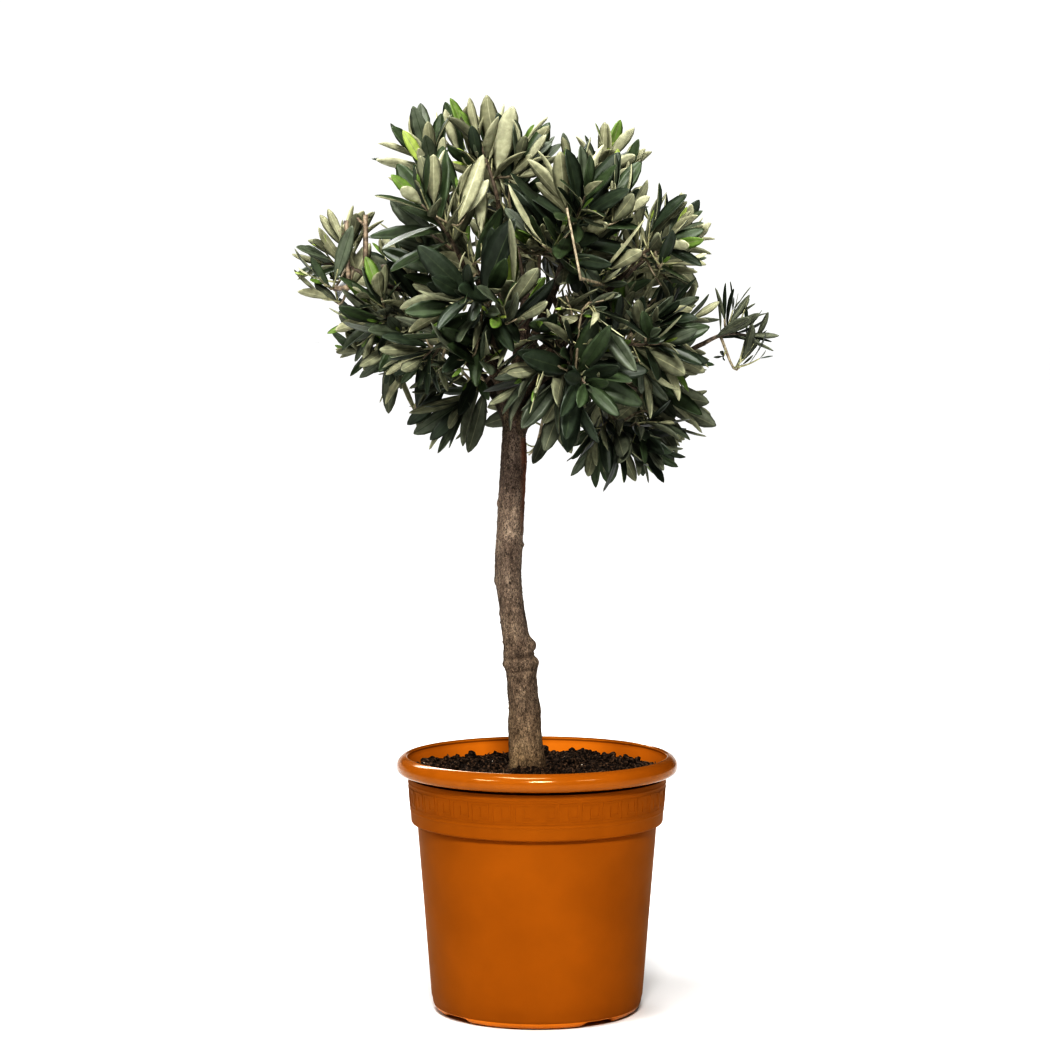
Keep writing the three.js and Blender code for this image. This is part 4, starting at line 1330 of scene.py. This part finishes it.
def fine_bough(limb):
    """The bough's own curve again, in finer steps, with its radii."""
    steps = BOUGH_RINGS // BOUGH_STEPS
    line = smooth_line(limb.line, steps)
    radii = np.interp(np.arange(len(line)) / steps, range(len(limb.radii)), limb.radii)
    return line, radii


bm = bmesh.new()
for number, limb in enumerate(limbs[1:]):
    line, radii = fine_bough(limb)
    shift = vec(number * 31, number * 17, 0)

    def bough_radius(ring, turn, place, radii=radii, shift=shift):
        collar = 1 + 0.25 * math.exp(-ring / 3)
        return radii[ring] * collar + 0.35 * bark_relief((place + shift) * 1.6)

    join_bmesh(bm, limb_tube(line, BOUGH_SIDES, bough_radius))
boughs_mesh = mesh_from_bmesh(bm, "boughs")
print("boughs", len(limbs) - 1)

# %% [markdown]
# Bark colour is laid in steps, as a painter would: a mottle of grey-brown and
# tan, a curly dark and light grain over it, short upright streaks, and pale
# pores. The trunk is palest just above the soil, where dust clings to it, and
# greyer higher up, where it is also painted darker under the head: a painted
# shade. A reddish strip of younger bark runs up the right side of its upper
# half. The boughs have the same bark, but painted darker, a painted shade for
# their place inside the head, and browner.

# %% Bark
def bark_recipe(name, mottle_stops):
    """Mottle, grain and streaks, and the colour that they add up to."""
    bark = Recipe(name, 0.80)
    bark.shader.inputs["Specular IOR Level"].default_value = 0.3
    base = bark.ramp(bark.noise(60, 6, (1, 1, 0.6), 0.60), mottle_stops)
    grain = bark.noise(680, 6, (1, 1, 0.55), 0.74, 1.0)
    grain_tone = bark.ramp(
        grain,
        [(0.38, (0.22, 0.21, 0.20)), (0.49, (0.82, 0.81, 0.80)), (0.62, (1.62, 1.62, 1.58))],
    )
    grained = bark.mix(1.0, base, grain_tone, "MULTIPLY")
    streaks = bark.noise(150, 4, (1, 1, 0.2), 0.6)
    streak_tone = bark.ramp(streaks, [(0.36, (0.50, 0.47, 0.45)), (0.56, (1, 1, 1))])
    streaked = bark.mix(0.7, grained, streak_tone, "MULTIPLY")
    bark.bump(grain, 1.0, 1.2)
    return bark, streaked


bark, bark_tone = bark_recipe(
    "bark",
    [
        (0.30, (0.070, 0.052, 0.040)),
        (0.46, (0.112, 0.086, 0.067)),
        (0.60, (0.150, 0.119, 0.093)),
        (0.75, (0.195, 0.157, 0.122)),
    ],
)
# Brightness by height: pale dust just above the soil, and painted shade at the top, under the head.
dust_and_painted_shade = bark.ramp(
    bark.place_ramp("Z", 0.206, 0.486),
    [
        (0.00, (0.90, 0.82, 0.64)),
        (0.04, (1.70, 1.58, 1.26)),
        (0.09, (2.00, 1.92, 1.64)),
        (0.20, (1.30, 1.26, 1.16)),
        (0.60, (1.10, 1.10, 1.10)),
        (0.80, (1.32, 1.32, 1.32)),
        (0.86, (1.26, 1.26, 1.30)),
        (1.00, (1.02, 1.02, 1.06)),
    ],
)
bark_tone = bark.mix(1.0, bark_tone, dust_and_painted_shade, "MULTIPLY")
strip_height = bark.multiply(bark.place_ramp("Z", 0.405, 0.425), bark.place_ramp("Z", 0.500, 0.485))
strip = bark.multiply(bark.place_ramp("X", -0.0150, -0.0110), strip_height)
strip_tone = bark.ramp(
    bark.noise(230, 5, (1, 1, 0.4), 0.7),
    [(0.38, (0.052, 0.028, 0.018)), (0.55, (0.135, 0.054, 0.028)), (0.70, (0.190, 0.098, 0.058))],
)
bark_tone = bark.mix(strip, bark_tone, strip_tone)
pore_share = bark.ramp(bark.noise(520, 2, (1, 1, 1.3), 0.5), [(0.68, (0, 0, 0)), (0.74, (1, 1, 1))])
bark.color(bark.mix(pore_share, bark_tone, (0.30, 0.23, 0.16)))

# The boughs' bark is darker than the trunk's: painted shade, as they stand inside the head.
shaded_bark, shaded_tone = bark_recipe(
    "bough_bark",
    [
        (0.30, (0.030, 0.022, 0.016)),
        (0.46, (0.060, 0.045, 0.032)),
        (0.60, (0.100, 0.078, 0.055)),
        (0.75, (0.165, 0.130, 0.092)),
    ],
)
shaded_bark.color(shaded_tone)

finish_piece("trunk_bark", trunk_mesh, [bark.material], ["trunk"])
bough_nodes = ["bough_" + limb.name for limb in limbs[1:]]
finish_piece("boughs", boughs_mesh, [shaded_bark.material], bough_nodes)

# %% [markdown]
# ## Twigs
#
# The crown holds several hundred thin twigs. All are copies of one small tube of
# six sides and seven rings, laid along their own lines as arrays of numbers and
# joined into one mesh. The main stems are grey-brown, the shoots are tan, and
# the youngest twigs are still green.

# %% Twig copies
TWIG_SIDES = 6
TUBE_STEPS = 6  # one fewer than its rings
STEM_BROWN, SHOOT_TAN, TWIG_GREEN, STUB_BROWN = range(4)  # the twigs' finishes


def twig_points(template, line, thick, thin):
    """The template tube carried along a line of TUBE_STEPS steps."""
    frames = ring_frames(line)
    ring = np.rint(template[:, 2]).astype(int)
    side = np.array([f[0] for f in frames])[ring]
    following = np.array([f[1] for f in frames])[ring]
    radius = np.linspace(thick, thin, len(line))[ring]
    flat = side * template[:, :1] + following * template[:, 1:2]
    return np.array(line)[ring] + flat * radius[:, None]


tube_template, tube_faces = template_arrays(straight_tube(TWIG_SIDES, TUBE_STEPS))
twig_sets, twig_slots = [], []


def add_twig(line, thick, thin, slot):
    """One more copy of the tube, along a line, between two radii."""
    fine = smooth_line(line, TUBE_STEPS // (len(line) - 1))
    twig_sets.append(twig_points(tube_template, fine, thick, thin))
    twig_slots.append(slot)


for mass in masses:
    add_twig(mass.stem, BOUGH_TIP, 0.9, STEM_BROWN)
    for shoot in mass.shoots:
        add_twig(shoot, 1.35, 0.75, SHOOT_TAN)
    for twig in mass.twigs:
        add_twig(twig, 0.9, 0.55, TWIG_GREEN)
print("twigs", len(twig_sets))

# %% [markdown]
# A few twigs carry no leaves at all. Two were pruned back on the left and stand
# up as blunt stubs, each with a small spur, and a thin dry one rises at the front
# right. Each starts from the nearest point of the mass that it belongs to.

# %% Bare twigs
# The mass that it grows from, or none for a spur on the stub above it; its foot
# and its tip (right, back, up), its radius and its finish.
BARE_TWIGS = [
    ("left_far", (-158, -22, 617), (-160, -22, 673), 2.3, STUB_BROWN),
    (None, (-159, -22, 657), (-166, -24, 665), 1.2, STUB_BROWN),
    ("left_upper", (-144, -18, 632), (-144, -18, 678), 2.5, STUB_BROWN),
    (None, (-144, -18, 668), (-151, -20, 675), 1.4, STUB_BROWN),
    ("front_upper_right", (34, -150, 624), (23, -148, 680), 1.3, SHOOT_TAN),
]


def nearest_twig_point(mass, place):
    """The point of the mass's stem and shoots that lies nearest to a place."""
    points = np.concatenate([np.array(line) for line in [mass.stem, *mass.shoots]])
    return points[np.argmin(np.linalg.norm(points - place, axis=1))]


for grower, foot, tip, radius, finish in BARE_TWIGS:
    foot, tip = vec(*foot), vec(*tip)
    if grower:
        mass = next(m for m in masses if m.name == grower)
        add_twig([nearest_twig_point(mass, foot), foot], radius, radius * 0.95, finish)
    add_twig([foot - unit(tip - foot) * 2, tip], radius * 0.95, radius * 0.8, finish)


def copies_mesh(name, sets, faces, slots):
    """One mesh of many copies: sets of points, the faces of one copy, its slots."""
    size = len(sets[0])
    whole = [[p + k * size for p in face] for k in range(len(sets)) for face in faces]
    return mesh_from_arrays(name, np.concatenate(sets), whole, slots)


twigs_mesh = copies_mesh("twigs", twig_sets, tube_faces, np.repeat(twig_slots, len(tube_faces)))


def twig_material(name, dark, light):
    """Thin young bark, mottled between two tones."""
    recipe = Recipe(name, 0.62)
    recipe.color(recipe.ramp(recipe.noise(240, 4), [(0.35, dark), (0.65, light)]))
    recipe.bump(recipe.noise(800, 3), 0.4, 0.3)
    return recipe.material


twig_materials = [
    twig_material("stem_brown", (0.060, 0.047, 0.034), (0.160, 0.125, 0.092)),
    twig_material("shoot_tan", (0.120, 0.098, 0.068), (0.300, 0.260, 0.185)),
    twig_material("twig_green", (0.170, 0.165, 0.095), (0.340, 0.335, 0.205)),
    twig_material("stub_brown", (0.050, 0.038, 0.028), (0.270, 0.215, 0.155)),
]
finish_piece("twigs", twigs_mesh, twig_materials)

# %% [markdown]
# ## Leaves
#
# An olive leaf is a narrow, leathery blade with a blunt tip and a short stalk,
# dark and slightly shiny above and silver-grey below. One leaf is drawn on a
# grid of five strips, of which the narrow middle one is the midrib. The grid is
# given a second, lower layer that shares its rim, so the blade is a closed
# lens. Every copy is then folded along its midrib, bowed, and twisted a little
# differently.

# %% One leaf
LEAF_ROWS = (0.0, 0.07, 0.24, 0.46, 0.68, 0.86, 0.96, 1.0)  # along the blade
LEAF_HALF_WIDTHS = (0.05, 0.06, 0.31, 0.47, 0.48, 0.34, 0.16, 0.03)
LEAF_COLUMNS = (-1.0, -0.5, -0.055, 0.055, 0.5, 1.0)  # across it
LEAF_DEPTH = 0.012  # thickness in the middle, as a share of the length


def leaf_template():
    """One leaf's points as (across, along, height), its faces, and which faces are what."""
    rows, columns = len(LEAF_ROWS) - 1, len(LEAF_COLUMNS) - 1
    bm = bmesh.new()
    bmesh.ops.create_grid(bm, x_segments=columns, y_segments=rows, size=1)
    for v in bm.verts:
        column = round((v.co.x + 1) * columns / 2)
        row = round((v.co.y + 1) * rows / 2)
        v.co = (LEAF_COLUMNS[column], LEAF_ROWS[row], 0)
    upper = list(bm.faces)
    lower = bmesh.ops.duplicate(bm, geom=upper)["geom"]
    lower_faces = [g for g in lower if isinstance(g, bmesh.types.BMFace)]
    bmesh.ops.reverse_faces(bm, faces=lower_faces)
    for v in {v for f in lower_faces for v in f.verts}:
        if abs(v.co.x) < 1 and 0 < v.co.y < 1:
            v.co.z = -1
    bmesh.ops.remove_doubles(bm, verts=bm.verts, dist=0.0001)
    kinds = []  # 0 above, 1 its midrib, 2 below, 3 its midrib
    for face in bm.faces:
        middle = face.calc_center_median()
        below = middle.z < -0.01 or face.normal.z < 0
        on_rib = abs(middle.x) < LEAF_COLUMNS[3]
        kinds.append(2 * below + on_rib)
    points, faces = template_arrays(bm)
    return points, faces, np.array(kinds)


leaf_points, leaf_faces, leaf_kinds = leaf_template()
print("one leaf", len(leaf_faces), "faces")

# %% [markdown]
# All blades are placed at once. For each leaf there is a row of numbers: where
# its stalk starts, which way it points and faces, its length and width, and how
# far it folds, bows and twists. The arithmetic then runs on whole arrays.

# %% Place the leaves
SLIM_SPRIG = {"right_tip": 0.62}  # this sprig's leaves are narrow, and darker too
SPRIG_DARKER = (0.5, 0.6)  # above and below
leaf_rng = np.random.default_rng(7)
all_leaves = [(mass, leaf) for mass in masses for leaf in mass.leaves]


def blade_points(node, direction, normal, side, long, wide, fold, bow, twist):
    """The points of all the leaves, each folded, bowed and twisted in its own way."""
    across_share, along, layer = leaf_points.T
    half = np.interp(along, LEAF_ROWS, LEAF_HALF_WIDTHS)
    sideways = wide[:, None] * half * across_share
    height = np.abs(sideways) * fold[:, None]
    height = height - long[:, None] * bow[:, None] * along**2
    height = height + long[:, None] * LEAF_DEPTH * layer
    turn = twist[:, None] * along
    turned_side = sideways * np.cos(turn) - height * np.sin(turn)
    turned_height = sideways * np.sin(turn) + height * np.cos(turn)
    reach = long[:, None] * along * (1 - 0.35 * bow[:, None] * along)
    return (
        node[:, None]
        + direction[:, None] * reach[:, :, None]
        + side[:, None] * turned_side[:, :, None]
        + normal[:, None] * turned_height[:, :, None]
    )


node = np.array([leaf.node for _, leaf in all_leaves])
direction = np.array([leaf.direction for _, leaf in all_leaves])
normal = np.array([leaf.normal for _, leaf in all_leaves])
side = np.array([leaf.side for _, leaf in all_leaves])
long = np.array([leaf.long for _, leaf in all_leaves])
wide = np.array([leaf.wide * SLIM_SPRIG.get(mass.name, 1) for mass, leaf in all_leaves])
count = len(all_leaves)
fold = leaf_rng.uniform(0.05, 0.42, count)  # how steeply each half rises from the midrib
bow = leaf_rng.uniform(-0.03, 0.16, count)  # how far the tip sinks, as a share of the length
twist = leaf_rng.normal(0, 0.22, count)  # in radians, from stalk to tip
blades = blade_points(node, direction, normal, side, long, wide, fold, bow, twist)
print("blades", count)

# %% [markdown]
# Leaves of one plant differ in age. Each upper side gets one of six greens: a
# shoot has its own tone, leaves high in the crown are painted lighter, a painted
# light from above, and the youngest are yellowish. Undersides go from shaded grey
# to pale silver in four steps, painted paler high in the crown as well, and are
# duller. Every finish is mottled slightly by noise.

# %% Leaf finishes
def leaf_material(name, color, roughness, grain):
    """One tone of leaf, mottled from darker to lighter, with a fine grain."""
    recipe = Recipe(name, roughness, color)
    recipe.shader.inputs["IOR"].default_value = 1.38
    shade = recipe.ramp(
        recipe.noise(130, 4),
        [(0.3, tuple(c * 0.72 for c in color)), (0.7, tuple(min(1, c * 1.3) for c in color))],
    )
    recipe.color(shade)
    recipe.bump(recipe.noise(650, 4, (1, 1, 1), 0.6), grain, 0.25)
    return recipe.material


upper_tones = [
    ("leaf_deep", (0.019, 0.025, 0.017)),
    ("leaf_dark", (0.028, 0.038, 0.024)),
    ("leaf_green", (0.042, 0.059, 0.030)),
    ("leaf_grey", (0.077, 0.090, 0.063)),
    ("leaf_fresh", (0.110, 0.163, 0.043)),
    ("leaf_young", (0.219, 0.269, 0.075)),
]
under_tones = [
    ("under_shade", (0.090, 0.098, 0.070)),
    ("under_grey", (0.160, 0.165, 0.112)),
    ("under_silver", (0.254, 0.254, 0.171)),
    ("under_pale", (0.378, 0.378, 0.266)),
]
leaf_materials = [leaf_material(n, c, 0.42, 0.35) for n, c in upper_tones]
leaf_materials += [leaf_material(n, c, 0.75, 0.5) for n, c in under_tones]
leaf_materials.append(leaf_material("midrib_dark", (0.040, 0.052, 0.030), 0.5, 0.3))
leaf_materials.append(leaf_material("midrib_light", (0.150, 0.165, 0.090), 0.5, 0.3))
UNDER = len(upper_tones)
DARK_RIB = UNDER + len(under_tones)
LIGHT_RIB = DARK_RIB + 1
UPPER_STEPS = (0.35, 0.75, 1.1, 1.45, 1.72)  # lightness at which the next tone starts
UNDER_STEPS = (0.34, 0.66, 1.02)
GREY = 3  # up to this tone the midrib is the dark one
CROWN_FOOT = 480
CROWN_HEIGHT = 290
YOUNGER = {BUD_PAIR: 0.75, 0: 0.42}  # how much lighter the youngest pairs are


def leaf_slots(index):
    """The finishes of a leaf: upper side, its midrib, underside, its midrib."""
    mass, leaf = all_leaves[index]
    spray = stream(mass.seed * 131 + int(abs(leaf.shoot[-1][0] * 7 + leaf.shoot[-1][2] * 3)))
    tone = spray()
    height = (leaf.node[2] - CROWN_FOOT) / CROWN_HEIGHT  # 0 low in the crown, 1 at its top
    young = YOUNGER.get(leaf.pair, 0)
    # The height terms are painted light: leaves high in the crown are made lighter and paler, as if lit
    # from above.
    lightness = tone * 0.9 + height * 0.45 + leaf_rng.uniform(-0.15, 0.35) + young
    paleness = height * 0.8 + leaf_rng.uniform(-0.1, 0.5) + young * 0.4
    if mass.name in SLIM_SPRIG:
        lightness, paleness = lightness - SPRIG_DARKER[0], paleness - SPRIG_DARKER[1]
    upper = int(np.searchsorted(UPPER_STEPS, lightness))
    under = int(np.searchsorted(UNDER_STEPS, paleness))
    rib = LIGHT_RIB if upper > GREY else DARK_RIB
    return upper, rib, UNDER + under, UNDER + min(under + 1, len(under_tones) - 1)


slots = np.array([leaf_slots(i) for i in range(count)])
half = count // 2
for name, part in (("leaves_a", slice(0, half)), ("leaves_b", slice(half, count))):
    part_slots = slots[part][:, leaf_kinds].ravel()
    mesh = copies_mesh(name, list(blades[part]), leaf_faces, part_slots)
    nodes = ["foliage_" + mass.name for mass in masses] if name == "leaves_a" else ()
    finish_piece(name, mesh, leaf_materials, nodes)
